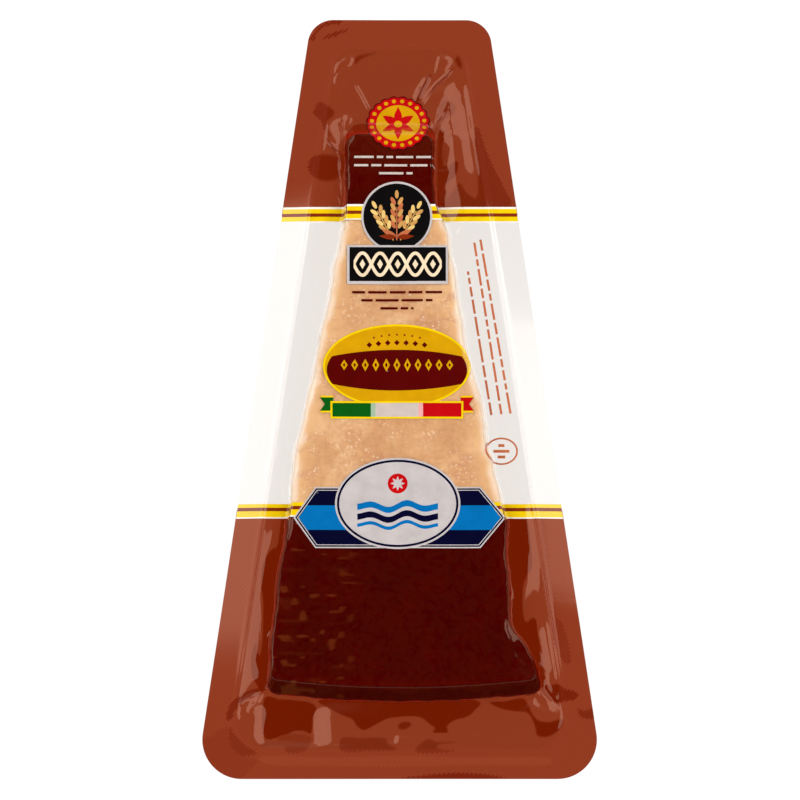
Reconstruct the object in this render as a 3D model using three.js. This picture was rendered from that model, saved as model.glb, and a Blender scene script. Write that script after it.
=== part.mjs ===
// A wedge of hard cheese sealed in a flat vacuum pack, lying on its back.
// Millimetres. X runs across the pack, +Y towards its narrow end, and +Z out of its printed front.
// The origin is the centre of the pack's outline, on the surface that it lies on.
import * as THREE from 'three';

// The pack's outline is a trapezoid with round corners. Widths are between its sharp corners.
const PACK_LENGTH = 200;
const NARROW_WIDTH = 46.8;
const WIDE_WIDTH = 106;
const NARROW_RADIUS = 6.8;
const WIDE_RADIUS = 10.3;

// The two films are welded round the edge, and inside the weld's rim they hang free. Beside the thick
// half of the cheese the weld droops outwards.
const SEAL_WIDTH = 7;
const SEAL_TOP = 25.5;
const SEAL_THICKNESS = 0.6;
const SEAL_DROOP = 0.15;
const RIM_BEAD = 0.2;
const RIM_STEP = 1;
const RIM_NARROW_RADIUS = 5;
const RIM_WIDE_RADIUS = 8;

// The cheese. Each station is one place along it: y, then the x of its left and its right side.
const WEDGE_HEIGHT = 31;
const WEDGE_TIP = 69.1;
const WEDGE_HEEL = -74.6;
const WEDGE_STATIONS = [
  [76, -13.6, 8.8],
  [60, -13.8, 9.0],
  [51, -14.1, 9.6],
  [45, -14.8, 12.1],
  [17, -20.5, 16.5],
  [7, -22.3, 18.6],
  [-3, -24.4, 21.6],
  [-13, -26.9, 23.0],
  [-32, -29.0, 27.4],
  [-45, -30.8, 28.0],
  [-60, -32.7, 29.0],
  [-66, -33.2, 33.0],
  [-74, -34.0, 35.8],
  [-82, -34.8, 37.5],
];
const HEEL_BULGE = 2.2;
const RIND_BULGE = 2.3;
const TIP_RADIUS = 3.5;
const HEEL_RADIUS = 3;
const EDGE_ROUNDING = 1.2;

// The front film's foot: how far out from the cheese's top edge it has come down, and its height there.
const SIDE_DRAPE = 1.8;
const TIP_DRAPE = 3;
const HEEL_DRAPE = 4.4;
const SIDE_FOOT = 24.6;
const TIP_FOOT = 29.2;
const HEEL_FOOT = 21;
// From the rim the film slopes down for this share of the way to the foot, and then lies flat.
const FREE_SHARE = 0.6;

// Relief of the films.
const SEAL_WAVE = 0.35;
const FACE_WAVE = 0.3;
const PLEAT_DEPTH = 0.5;
const PLEAT_COUNT = 20;
const TIP_FOLD = 1;
const HEEL_FOLD = 1.6;
const FOLD_SPREAD = 2.2;

// Points in each stretch of a ring round the pack.
const SIDE_POINTS = 34;
const NARROW_POINTS = 10;
const WIDE_POINTS = 22;
const CORNER_POINTS = 6;
const RING_POINTS = 2 * SIDE_POINTS + NARROW_POINTS + WIDE_POINTS + 4 * CORNER_POINTS;

const lerp = THREE.MathUtils.lerp;
const smoothstep = THREE.MathUtils.smoothstep;

/** The x of one side of the cheese at a y, on a smooth curve through the stations. */
function stationX(y, column) {
  const last = WEDGE_STATIONS.length - 1;
  let i = 0;
  while (i < last - 1 && y < WEDGE_STATIONS[i + 1][0]) i += 1;
  const [before, from, to, after] = [i - 1, i, i + 1, i + 2].map((k) =>
    WEDGE_STATIONS[THREE.MathUtils.clamp(k, 0, last)]);
  const slope = (a, b) => (a === b ? 0 : (b[column] - a[column]) / (b[0] - a[0]));
  const span = to[0] - from[0];
  const t = (y - from[0]) / span;
  const rise = (to[column] - from[column]) / span;
  const slopeIn = before === from ? rise : slope(before, to);
  const slopeOut = after === to ? rise : slope(from, after);
  return (2 * t ** 3 - 3 * t ** 2 + 1) * from[column]
    + (t ** 3 - 2 * t ** 2 + t) * span * slopeIn
    + (3 * t ** 2 - 2 * t ** 3) * to[column]
    + (t ** 3 - t ** 2) * span * slopeOut;
}

/** The points of a round corner between two straight lines that meet at corner. */
function roundCorner(before, corner, after, radius) {
  const u = before.clone().sub(corner).normalize();
  const v = after.clone().sub(corner).normalize();
  const half = Math.acos(u.dot(v)) / 2;
  const centre = u.clone().add(v).normalize().multiplyScalar(radius / Math.sin(half)).add(corner);
  const start = u.multiplyScalar(radius / Math.tan(half)).add(corner).sub(centre);
  const turn = Math.PI - 2 * half;
  return Array.from({ length: CORNER_POINTS }, (_, i) =>
    start.clone().rotateAround(new THREE.Vector2(), turn * i / (CORNER_POINTS - 1)).add(centre));
}

/** A closed ring, counter-clockwise from above: right side, narrow end, left side, wide end. */
function ring({ left, right, narrowY, wideY, narrowRadius, wideRadius, bulge = 0 }) {
  const at = (side, y) => new THREE.Vector2(side(y), y);
  const step = 3;
  const corners = [
    roundCorner(at(right, narrowY - step), at(right, narrowY), at(left, narrowY), narrowRadius),
    roundCorner(at(right, narrowY), at(left, narrowY), at(left, narrowY - step), narrowRadius),
    roundCorner(at(left, wideY + step), at(left, wideY), at(right, wideY), wideRadius),
    roundCorner(at(left, wideY), at(right, wideY), at(right, wideY + step), wideRadius),
  ];
  const between = (from, to, count, place) => Array.from({ length: count }, (_, i) =>
    place(from[CORNER_POINTS - 1].clone().lerp(to[0], (i + 1) / (count + 1))));
  const middle = (left(wideY) + right(wideY)) / 2;
  const halfWidth = (right(wideY) - left(wideY)) / 2;
  const bow = (p) => new THREE.Vector2(p.x, p.y - bulge * (1 - ((p.x - middle) / halfWidth) ** 2));
  return [
    ...between(corners[3], corners[0], SIDE_POINTS, (p) => at(right, p.y)),
    ...corners[0],
    ...between(corners[0], corners[1], NARROW_POINTS, (p) => p),
    ...corners[1],
    ...between(corners[1], corners[2], SIDE_POINTS, (p) => at(left, p.y)),
    ...corners[2].map(bow),
    ...between(corners[2], corners[3], WIDE_POINTS, bow),
    ...corners[3].map(bow),
  ];
}

/** The pack's outline, moved inwards. */
function packRing(inset, narrowRadius, wideRadius) {
  const taper = (WIDE_WIDTH - NARROW_WIDTH) / 2 / PACK_LENGTH;
  const sideInset = inset * Math.hypot(1, taper);
  const right = (y) => NARROW_WIDTH / 2 + (PACK_LENGTH / 2 - y) * taper - sideInset;
  return ring({
    right,
    left: (y) => -right(y),
    narrowY: PACK_LENGTH / 2 - inset,
    wideY: -PACK_LENGTH / 2 + inset,
    narrowRadius,
    wideRadius,
  });
}

/** The cheese's outline, moved outwards by a distance at its sides, tip and heel. */
function wedgeRing(side, tip = side, heel = side) {
  return ring({
    left: (y) => stationX(y, 1) - side,
    right: (y) => stationX(y, 2) + side,
    narrowY: WEDGE_TIP + tip,
    wideY: WEDGE_HEEL - heel,
    narrowRadius: Math.max(TIP_RADIUS + side, 1),
    wideRadius: Math.max(HEEL_RADIUS + side, 1),
    bulge: HEEL_BULGE,
  });
}

/** A wedge ring shrunk towards the middle line of the face, for the rings across its front. */
function faceRing(share) {
  const edge = wedgeRing(-EDGE_ROUNDING);
  const spineLow = WEDGE_HEEL + 26;
  const spineHigh = WEDGE_TIP - 12;
  return edge.map((p) => {
    const y = THREE.MathUtils.clamp(p.y, spineLow, spineHigh);
    const x = (stationX(y, 1) + stationX(y, 2)) / 2;
    return new THREE.Vector2(lerp(p.x, x, share), lerp(p.y, y, share));
  });
}

const blendRings = (from, to, share) => from.map((p, i) => p.clone().lerp(to[i], share));
const sealWave = (p) => SEAL_WAVE * Math.sin(p.y / 21 + p.x / 34) * Math.cos(p.x / 17 - 0.6);
const faceWave = (p) => FACE_WAVE * Math.sin(p.x / 6.1 + p.y / 9.7) * Math.cos(p.y / 7.3 - p.x / 11);
const sealZ = (p) => SEAL_TOP + sealWave(p);

/** How far the pack's edge lies below the rim of its seal. */
const droop = (p) => SEAL_DROOP * SEAL_WIDTH * smoothstep(-p.y, 5, 30) * (1 - smoothstep(-p.y, 62, 82));

/** How much a point of the film belongs to the tip and to the heel of the cheese, from 0 to 1. */
const nearTip = (p) => smoothstep(p.y, WEDGE_TIP - 8, WEDGE_TIP + TIP_DRAPE);
const nearHeel = (p) => smoothstep(-p.y, -WEDGE_HEEL - 12, -WEDGE_HEEL + 3);

/** The height of the front film at its foot, beside the cheese. */
const footZ = (p) => lerp(lerp(SIDE_FOOT, TIP_FOOT, nearTip(p)), HEEL_FOOT, nearHeel(p));

/** How strongly a point of a ring lies on the folds that run out from the corners of the cheese. */
function foldAt(index) {
  const first = SIDE_POINTS + CORNER_POINTS / 2;
  const tipLeft = first + CORNER_POINTS + NARROW_POINTS;
  const heelLeft = tipLeft + CORNER_POINTS + SIDE_POINTS;
  const heelRight = heelLeft + CORNER_POINTS + WIDE_POINTS;
  const near = (corner) => Math.exp(-(((index - corner) / FOLD_SPREAD) ** 2));
  return TIP_FOLD * (near(first) + near(tipLeft)) + HEEL_FOLD * (near(heelLeft) + near(heelRight));
}

const lift = (points, height) => points.map((p, i) => new THREE.Vector3(p.x, p.y, height(p, i)));

/** The rings of the free film between the rim and the foot, a share of the way in from the rim. */
function freeFilm(shares, thickness) {
  const inside = packRing(SEAL_WIDTH + RIM_STEP, RIM_NARROW_RADIUS, RIM_WIDE_RADIUS);
  const foot = wedgeRing(SIDE_DRAPE, TIP_DRAPE, HEEL_DRAPE);
  return shares.map((share) => lift(blendRings(inside, foot, share), (p, i) => {
    const slope = Math.min(share / lerp(FREE_SHARE, 1, nearTip(foot[i])), 1);
    const height = lerp(sealZ(inside[i]) - RIM_BEAD, footZ(foot[i]), slope);
    return height + foldAt(i) * Math.sin(Math.PI * share) - thickness;
  }));
}

/** The rings of the front, from the pack's edge inwards and up on to the cheese. */
function frontRings() {
  const outer = packRing(0, NARROW_RADIUS, WIDE_RADIUS);
  const rim = packRing(SEAL_WIDTH, RIM_NARROW_RADIUS, RIM_WIDE_RADIUS);
  const foot = wedgeRing(SIDE_DRAPE, TIP_DRAPE, HEEL_DRAPE);
  const shoulder = wedgeRing(SIDE_DRAPE / 4, TIP_DRAPE / 4, HEEL_DRAPE / 4);
  return [
    lift(outer, (p) => sealZ(p) - droop(p)),
    lift(blendRings(outer, rim, 0.5), (p) => sealZ(p) - droop(p) / 2),
    lift(rim, (p) => sealZ(p) + RIM_BEAD),
    ...freeFilm([0, 0.2, 0.4, 0.6, 0.8, 1], 0),
    lift(blendRings(foot, shoulder, 0.6), (p) => lerp(footZ(p), WEDGE_HEIGHT, 0.45)),
    lift(shoulder, () => WEDGE_HEIGHT - EDGE_ROUNDING),
    lift(wedgeRing(-EDGE_ROUNDING / 4), () => WEDGE_HEIGHT - EDGE_ROUNDING / 3),
    ...[0, 0.25, 0.5, 0.75].map((share) =>
      lift(faceRing(share), (p) => WEDGE_HEIGHT - FACE_WAVE + faceWave(p))),
  ];
}

/** A ring of the pleated wall round the cheese, whose rind stands out by a share of its bulge. */
function wallRing(pleats, tuck, rind) {
  const turn = 2 * Math.PI * PLEAT_COUNT / RING_POINTS;
  const pleat = (i) => PLEAT_DEPTH * pleats * (1 + Math.sin(turn * i)) / 2;
  return wedgeRing(tuck, tuck, tuck + RIND_BULGE * rind).map((p, i, all) => {
    const along = all[(i + 1) % all.length].clone().sub(all[(i + all.length - 1) % all.length]).normalize();
    return new THREE.Vector2(p.x + along.y * pleat(i), p.y - along.x * pleat(i));
  });
}

/** The rings of the back, from its flat bed up the pleated wall and out under the seal. */
function backRings() {
  const outer = packRing(0, NARROW_RADIUS, WIDE_RADIUS);
  const inside = packRing(SEAL_WIDTH + RIM_STEP, RIM_NARROW_RADIUS, RIM_WIDE_RADIUS);
  const foot = wedgeRing(SIDE_DRAPE, TIP_DRAPE, HEEL_DRAPE);
  return [
    lift(wallRing(0, -2, 0), () => 0),
    lift(wallRing(0.3, -0.5, 0.2), () => 0.5),
    lift(wallRing(0.7, 0.2, 0.5), () => 2),
    lift(wallRing(1, 0.4, 0.9), () => 8),
    lift(wallRing(1, 0.5, 1), () => 14),
    lift(wallRing(0.8, 0.6, 0.9), (p) => footZ(p) - 3.5),
    lift(blendRings(wallRing(0.5, 0.8, 0.8), foot, 0.4), (p) => footZ(p) - 1.4),
    ...freeFilm([1, 0.8, 0.6, 0.4, 0.2, 0], SEAL_THICKNESS),
    lift(blendRings(outer, inside, 0.5), (p) => sealZ(p) - SEAL_THICKNESS - droop(p) / 2),
    lift(outer, (p) => sealZ(p) - SEAL_THICKNESS - droop(p)),
  ];
}

/** Skins the rings in turn and closes the first and the last with flat faces. */
function skin(rings) {
  const count = RING_POINTS;
  const faces = [];
  for (let r = 0; r < rings.length - 1; r += 1) {
    for (let i = 0; i < count; i += 1) {
      const [a, b] = [r * count + i, r * count + (i + 1) % count];
      faces.push(a, b, b + count, a, b + count, a + count);
    }
  }
  const flat = (points) => points.map((p) => new THREE.Vector2(p.x, p.y));
  const cap = (points) => THREE.ShapeUtils.triangulateShape(flat(points), []);
  const last = (rings.length - 1) * count;
  cap(rings[0]).forEach(([a, b, c]) => faces.push(a, c, b));
  cap(rings[rings.length - 1]).forEach(([a, b, c]) => faces.push(last + a, last + b, last + c));
  const geometry = new THREE.BufferGeometry().setFromPoints(rings.flat());
  geometry.setIndex(faces);
  geometry.computeVertexNormals();
  return geometry;
}

const film = new THREE.MeshStandardMaterial({ color: 0x96492b, roughness: 0.25, metalness: 0 });
const pack = new THREE.Mesh(skin([...backRings(), ...frontRings()]), film);
pack.name = 'vacuum_pack';

const part = new THREE.Group();
part.add(pack);

export default part;
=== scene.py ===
"""A wedge of hard cheese in a flat vacuum pack: a printed front film, a clear back film, and the cheese.

Lengths are in millimetres until make_mesh turns them into metres. X runs across the pack, +Y towards
its narrow end, and +Z out of its printed front.
"""
import math

import bpy
import numpy as np
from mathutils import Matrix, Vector
from mathutils.bvhtree import BVHTree
from mathutils.geometry import delaunay_2d_cdt


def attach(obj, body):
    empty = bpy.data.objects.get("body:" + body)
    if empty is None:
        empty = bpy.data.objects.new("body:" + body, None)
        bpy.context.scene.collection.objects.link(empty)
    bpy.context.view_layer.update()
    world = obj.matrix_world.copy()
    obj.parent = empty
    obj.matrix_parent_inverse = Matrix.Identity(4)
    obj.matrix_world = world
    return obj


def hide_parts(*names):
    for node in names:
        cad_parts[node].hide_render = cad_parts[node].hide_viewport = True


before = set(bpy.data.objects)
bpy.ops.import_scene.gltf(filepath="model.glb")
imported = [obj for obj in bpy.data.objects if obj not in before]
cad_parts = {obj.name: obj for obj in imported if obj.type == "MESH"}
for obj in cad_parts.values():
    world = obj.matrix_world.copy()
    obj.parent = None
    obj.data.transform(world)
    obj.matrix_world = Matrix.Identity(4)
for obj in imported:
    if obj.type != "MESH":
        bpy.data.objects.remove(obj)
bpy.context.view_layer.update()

MM = 0.001
NODE = "vacuum_pack"

# The pack's outline and seal, as the CAD model has them.
PACK_LENGTH = 200.0
NARROW_WIDTH = 46.8
WIDE_WIDTH = 106.0
NARROW_RADIUS = 6.8
WIDE_RADIUS = 10.3
SEAL_WIDTH = 7.0
SEAL_TOP = 25.5
SEAL_DROOP = 0.15
SEAL_WAVE = 0.35
RIM_BEAD = 0.2
BEAD_WIDTH = 0.4
BEAD_INSET = 7.0
GROOVE_INSET = 7.8
RIM_STEP = 1.0
RIM_NARROW_RADIUS = 5.0
RIM_WIDE_RADIUS = 8.0
FILM_GAP = 0.3

# The cheese. Each station is y, then the x of the left and of the right side. The waves are layers of noise.
WEDGE_HEIGHT = 30.83
WEDGE_TIP = 69.1
WEDGE_HEEL = -74.6
WEDGE_STATIONS = np.array([
    (76, -13.6, 8.8), (60, -13.8, 9.0), (51, -14.1, 9.6), (45, -14.8, 12.1), (17, -20.5, 16.5),
    (7, -22.3, 18.6), (-3, -24.4, 21.6), (-13, -26.9, 23.0), (-32, -29.0, 27.4), (-45, -30.8, 28.0),
    (-60, -32.7, 29.0), (-66, -33.2, 33.0), (-74, -34.0, 35.8), (-82, -34.8, 37.5),
])
LEFT, RIGHT = 1, 2
SIDE_WAVES = {LEFT: ((0.3, 4.2, 61), (0.12, 1.6, 81)), RIGHT: ((0.3, 4.2, 62), (0.12, 1.6, 82))}
HEEL_BULGE = 2.2
RIND_BULGE = 2.3
TIP_RADIUS = 3.5
HEEL_RADIUS = 1.8
FACE_WAVE = 0.3

# How the front film leaves the cheese: its edge's inset, how far out its foot is, and its bends.
EDGE_INSET = 0.45
EDGE_SLOPE = math.radians(12)
EDGE_BEND = 0.45
FOOT_BEND = 0.3
FOOT_WANDER = 0.2
FOOT_WAVES = ((1, 3.6, 63), (0.5, 1.5, 64))
SIDE_DRAPE = 0.65
TIP_DRAPE = 3.0
HEEL_DRAPE = 3.0
TIP_FOOT = 25.7
HEEL_FOOT = 23.3
HEEL_SLOPE = 0.08
EDGE_FALL = 0.1
EDGE_FALL_WIDTH = 0.5

# The cheese under the film, and how far below the foot its wall and the film's take up their own outline.
CHEESE_INSET = 0.25
FACE_GAP = 0.12
BACK_ROUND = 1.3
BACK_HEIGHT = 0.3
CHEESE_WALL_SHARES = (0.03, 0.07, 0.12, 0.18, 0.26, 0.35, 0.45, 0.55, 0.65, 0.75, 0.85, 0.93, 1.0)
WALL_EASE = 3.4

# Points of the cheese and of the back film above this height follow the front film's creases.
UPPER_HALF = 20.0

# The grains and cracks that the cheese's points are moved in by.
GRAINS = ((0.12, 3.4, 51), (0.09, 1.5, 52), (0.05, 0.8, 53))
GRAIN_BASE = 0.06
CRACK_DEPTH = 0.25
CRACK_SIZE = 5.5
CRACK_WIDTH = 0.07

# The number of points in each stretch of a ring.
SIDE_POINTS = 390
NARROW_POINTS = 96
WIDE_POINTS = 216
CORNER_POINTS = 36

# The y at which the front film's brown print ends, towards the clear middle.
UPPER_BROWN = 48.0
LOWER_BROWN = -30.0


# ---------------------------------------------------------------- numbers and noise

def lerp(a, b, share):
    """A value part of the way from a to b."""
    return a + (b - a) * share


def smooth(value, low=0.0, high=1.0):
    """A smooth step from 0 below low to 1 above high."""
    t = np.clip((value - low) / (high - low), 0.0, 1.0)
    return t * t * (3 - 2 * t)


def along(value, table):
    """A value read off a table of (position, value) pairs in rising order of position."""
    positions, values = zip(*sorted(table))
    return np.interp(value, positions, values)


def noise(points, size, seed):
    """Smooth noise between about -1 and 1 over 2-D or 3-D points, with features of about one size."""
    cells = 48
    dims = points.shape[-1]
    lattice = np.random.default_rng(seed).uniform(-1, 1, (cells,) * dims)
    place = points / size
    low = np.floor(place).astype(int)
    share = smooth(place - low)
    total = np.zeros(points.shape[:-1])
    for corner in np.ndindex((2,) * dims):
        weight = np.ones(points.shape[:-1])
        index = []
        for axis, step in enumerate(corner):
            weight = weight * (share[..., axis] if step else 1 - share[..., axis])
            index.append((low[..., axis] + step) % cells)
        total += weight * lattice[tuple(index)]
    return total


def layered_noise(points, layers):
    """A sum of layers of noise, each given by its height, its size and its seed."""
    return sum(height * noise(points, size, seed) for height, size, seed in layers)


def warp(points, reach, size, seeds):
    """Points moved about by noise, with one seed for each axis."""
    return points + reach * np.stack([noise(points, size, seed) for seed in seeds], -1)


# ---------------------------------------------------------------- rings round the pack

def side_x(y, side):
    """The x of the cheese's left or right side: a smooth curve through the stations, with small waves."""
    ys, xs = WEDGE_STATIONS[:, 0], WEDGE_STATIONS[:, side]
    slopes = np.empty(len(ys))
    slopes[1:-1] = (xs[2:] - xs[:-2]) / (ys[2:] - ys[:-2])
    slopes[0] = (xs[1] - xs[0]) / (ys[1] - ys[0])
    slopes[-1] = (xs[-1] - xs[-2]) / (ys[-1] - ys[-2])
    y = np.asarray(y, float)
    i = np.clip(np.searchsorted(-ys, -y, side="right") - 1, 0, len(ys) - 2)
    span = ys[i + 1] - ys[i]
    t = (y - ys[i]) / span
    wave = layered_noise(y[..., None], SIDE_WAVES[side])
    return ((2 * t ** 3 - 3 * t ** 2 + 1) * xs[i] + (t ** 3 - 2 * t ** 2 + t) * span * slopes[i]
            + (3 * t ** 2 - 2 * t ** 3) * xs[i + 1] + (t ** 3 - t ** 2) * span * slopes[i + 1] + wave)


def round_corner(before, corner, after, radius):
    """The points of a round corner between two straight lines that meet at corner."""
    u = (before - corner) / np.linalg.norm(before - corner)
    v = (after - corner) / np.linalg.norm(after - corner)
    half = math.acos(u @ v) / 2
    middle = (u + v) / np.linalg.norm(u + v)
    centre = corner + middle * radius / math.sin(half)
    start = corner + u * radius / math.tan(half) - centre
    turns = np.linspace(0, math.pi - 2 * half, CORNER_POINTS)
    cos, sin = np.cos(turns), np.sin(turns)
    return centre + np.stack([start[0] * cos - start[1] * sin, start[0] * sin + start[1] * cos], -1)


def ring(left, right, narrow_y, wide_y, narrow_radius, wide_radius, bulge=0.0):
    """A closed ring, counter-clockwise from above: right side, narrow end, left side, bulging wide end."""
    def at(side, y):
        return np.array([float(side(y)), y])

    def between(first, last, count):
        shares = (np.arange(count) + 1) / (count + 1)
        return first[-1] + (last[0] - first[-1]) * shares[:, None]

    def bow(points):
        bowed = points.copy()
        bowed[:, 1] -= bulge * (1 - ((points[:, 0] - middle) / half_width) ** 2)
        return bowed

    reach = 3.0
    middle = (left(wide_y) + right(wide_y)) / 2
    half_width = (right(wide_y) - left(wide_y)) / 2
    corners = [
        round_corner(at(right, narrow_y - reach), at(right, narrow_y), at(left, narrow_y), narrow_radius),
        round_corner(at(right, narrow_y), at(left, narrow_y), at(left, narrow_y - reach), narrow_radius),
        round_corner(at(left, wide_y + reach), at(left, wide_y), at(right, wide_y), wide_radius),
        round_corner(at(left, wide_y), at(right, wide_y), at(right, wide_y + reach), wide_radius),
    ]
    right_side = between(corners[3], corners[0], SIDE_POINTS)
    right_side[:, 0] = right(right_side[:, 1])
    left_side = between(corners[1], corners[2], SIDE_POINTS)
    left_side[:, 0] = left(left_side[:, 1])
    return np.concatenate([
        right_side, corners[0], between(corners[0], corners[1], NARROW_POINTS), corners[1],
        left_side, bow(corners[2]), bow(between(corners[2], corners[3], WIDE_POINTS)), bow(corners[3]),
    ])


def pack_ring(inset):
    """The pack's outline, moved inwards."""
    taper = (WIDE_WIDTH - NARROW_WIDTH) / 2 / PACK_LENGTH
    share = min(inset / SEAL_WIDTH, 1)

    def right(y):
        return NARROW_WIDTH / 2 + (PACK_LENGTH / 2 - y) * taper - inset * math.hypot(1, taper)

    return ring(lambda y: -right(y), right, PACK_LENGTH / 2 - inset, -PACK_LENGTH / 2 + inset,
                lerp(NARROW_RADIUS, RIM_NARROW_RADIUS, share), lerp(WIDE_RADIUS, RIM_WIDE_RADIUS, share))


def wedge_ring(side, tip=None, heel=None):
    """The cheese's outline, moved outwards by a distance at its sides, tip and heel."""
    tip = side if tip is None else tip
    heel = side if heel is None else heel
    return ring(lambda y: side_x(y, LEFT) - side, lambda y: side_x(y, RIGHT) + side, WEDGE_TIP + tip,
                WEDGE_HEEL - heel, max(TIP_RADIUS + side, 1), max(HEEL_RADIUS + side, 1), HEEL_BULGE)


def face_ring(share, inset):
    """A wedge ring shrunk by a share of the way to the middle line of the face."""
    edge = wedge_ring(-inset)
    y = np.clip(edge[:, 1], WEDGE_HEEL + 26, WEDGE_TIP - 12)
    x = (side_x(y, LEFT) + side_x(y, RIGHT)) / 2
    return lerp(edge, np.stack([x, y], -1), share)


def raised(points, height):
    """2-D points with a height."""
    return np.column_stack([points, np.broadcast_to(height, len(points))])


def outward(p):
    """Unit vectors that point out of a ring."""
    ahead = np.roll(p, -1, axis=0) - np.roll(p, 1, axis=0)
    ahead /= np.linalg.norm(ahead, axis=1)[:, None]
    return np.stack([ahead[:, 1], -ahead[:, 0]], -1)


def foot_ring():
    """Where the front film leaves the cheese: a little outside it, on a wavy line."""
    p = wedge_ring(SIDE_DRAPE, TIP_DRAPE, HEEL_DRAPE)
    wander = FOOT_WANDER * layered_noise(p, FOOT_WAVES)
    return p + outward(p) * wander[:, None]


# ---------------------------------------------------------------- heights of the films

# The camera, which also places what is named by its pixel in the 800 x 800 reference view.
CAMERA_TARGET = (0.105, -0.95, 25.5)
CAMERA_DISTANCE = 1400.0
CAMERA_TILT = math.radians(6.5)
CAMERA_LENS = 240.96
SENSOR_WIDTH = 36.0
VIEW_WIDTH = 800


def on_film(pixels):
    """The place on the seal's plane under each pixel of the reference view."""
    focus = CAMERA_LENS / SENSOR_WIDTH * VIEW_WIDTH
    across, up = (np.asarray(pixels, float) - VIEW_WIDTH / 2).T * np.array([[1], [-1]]) / focus
    sin, cos = math.sin(CAMERA_TILT), math.cos(CAMERA_TILT)
    reach = CAMERA_DISTANCE * cos / (cos - up * sin)
    return np.stack([CAMERA_TARGET[0] + reach * across,
                     CAMERA_TARGET[1] - CAMERA_DISTANCE * sin + reach * (sin + up * cos)], -1)


def seal_z(p):
    """The height of the welded edge's top."""
    x, y = p[:, 0], p[:, 1]
    return SEAL_TOP + SEAL_WAVE * np.sin(y / 21 + x / 34) * np.cos(x / 17 - 0.6)


# How steeply the weld falls outwards, as a share of SEAL_DROOP, by y.
LEFT_DROOP = ((-80, 0.0), (-58, 0.95), (-52, 1.0), (42, 1.0), (50, 0.8), (58, 0.0))
RIGHT_DROOP = ((-58, 0.0), (-53, 0.75), (-47, 1.0), (-10, 1.0), (8, 0.85), (30, 0.4), (48, 0.0))


def droop(p):
    """How much the weld falls outwards at a place, per millimetre."""
    x, y = p[:, 0], p[:, 1]
    return SEAL_DROOP * np.where(x < 0, along(y, LEFT_DROOP), along(y, RIGHT_DROOP))


def weld_z(p, inset):
    """The height of the weld a distance in from its edge, with a bead that fades at both ends of the pack."""
    bead, groove = (math.exp(-((inset - middle) / BEAD_WIDTH) ** 2) for middle in (BEAD_INSET, GROOVE_INSET))
    lift = RIM_BEAD * (bead - groove)
    lift = lift * (1 - 0.85 * smooth(p[:, 1], 35, 55)) * (1 - 0.85 * smooth(-p[:, 1], 62, 76))
    return seal_z(p) - droop(p) * max(SEAL_WIDTH - inset, 0) + lift


# The free film's profile beside the cheese, by y: the width of its flat touching strip, then the width
# and the slope of the stretch that rises from there towards the rim.
LEFT_PROFILE = (
    (-77, 1.0, 9, 0.06), (-72, 3.0, 9, 0.15), (-66, 4.6, 9, 0.19), (-60, 3.6, 9, 0.19),
    (-44, 5.0, 9, 0.19), (-37, 3.0, 9, 0.19), (-28, 3.4, 9, 0.08), (-8, 3.4, 7, 0.05), (70, 1.0, 5, 0.05),
)
RIGHT_PROFILE = (
    (-77, 1.5, 4, 0.03), (-58, 2.0, 4, 0.05), (-52, 3.2, 4, 0.14), (-47, 4.6, 3.6, 0.19),
    (-36, 6.0, 3.4, 0.20), (-30, 5.6, 3.4, 0.17), (-22, 5.4, 3.4, 0.08), (10, 4.0, 4, 0.05),
    (44, 1.8, 5, 0.06), (51, 1.0, 8, 0.15), (58, 1.0, 9, 0.17), (78, 0.6, 9, 0.17),
)


def side_profile(x, y, column):
    """One column of the free film's profile, at places beside the cheese."""
    left, right = ([(row[0], row[column]) for row in table] for table in (LEFT_PROFILE, RIGHT_PROFILE))
    return np.where(x < 0, along(y, left), along(y, right))


def free_height(share):
    """The height of the free film at a share of the way from the rim to its foot."""
    start, foot = pack_ring(SEAL_WIDTH + RIM_STEP), foot_ring()
    x, y = foot.T
    rim = weld_z(start, SEAL_WIDTH + RIM_STEP)
    span = np.linalg.norm(start - foot, axis=1)
    flat, rise, slope = (side_profile(x, y, column) for column in (1, 2, 3))
    flat = np.minimum(flat, 0.7 * span)
    rise = np.minimum(rise, span - flat)
    beside = rim - slope * rise * (1 - np.clip(((1 - share) * span - flat) / rise, 0, 1))
    at_tip = lerp(rim, TIP_FOOT, share)
    at_heel = lerp(rim, np.maximum(HEEL_FOOT, rim - HEEL_SLOPE * span), share)
    near_tip = smooth(y, WEDGE_TIP - 1, WEDGE_TIP + 2.7)
    near_heel = smooth(-y, -WEDGE_HEEL - 7, -WEDGE_HEEL + 3)
    return lerp(lerp(beside, at_tip, near_tip), at_heel, near_heel)


def face_z(p):
    """The height of the front film over the cheese's face, before its fine relief."""
    x, y = p[:, 0], p[:, 1]
    return WEDGE_HEIGHT - FACE_WAVE + FACE_WAVE * np.sin(x / 6.1 + y / 9.7) * np.cos(y / 7.3 - x / 11)


def edge_fall(p, distance):
    """How far the face has sunk a distance in from its edge, which is softer in some places."""
    softness = 0.55 + 0.45 * noise(p, 7.0, 65)
    sides = 1 - 0.85 * smooth(-p[:, 1], -WEDGE_HEEL - 5, -WEDGE_HEEL - 1)
    return EDGE_FALL * softness * sides * np.exp(-distance / EDGE_FALL_WIDTH)


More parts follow.
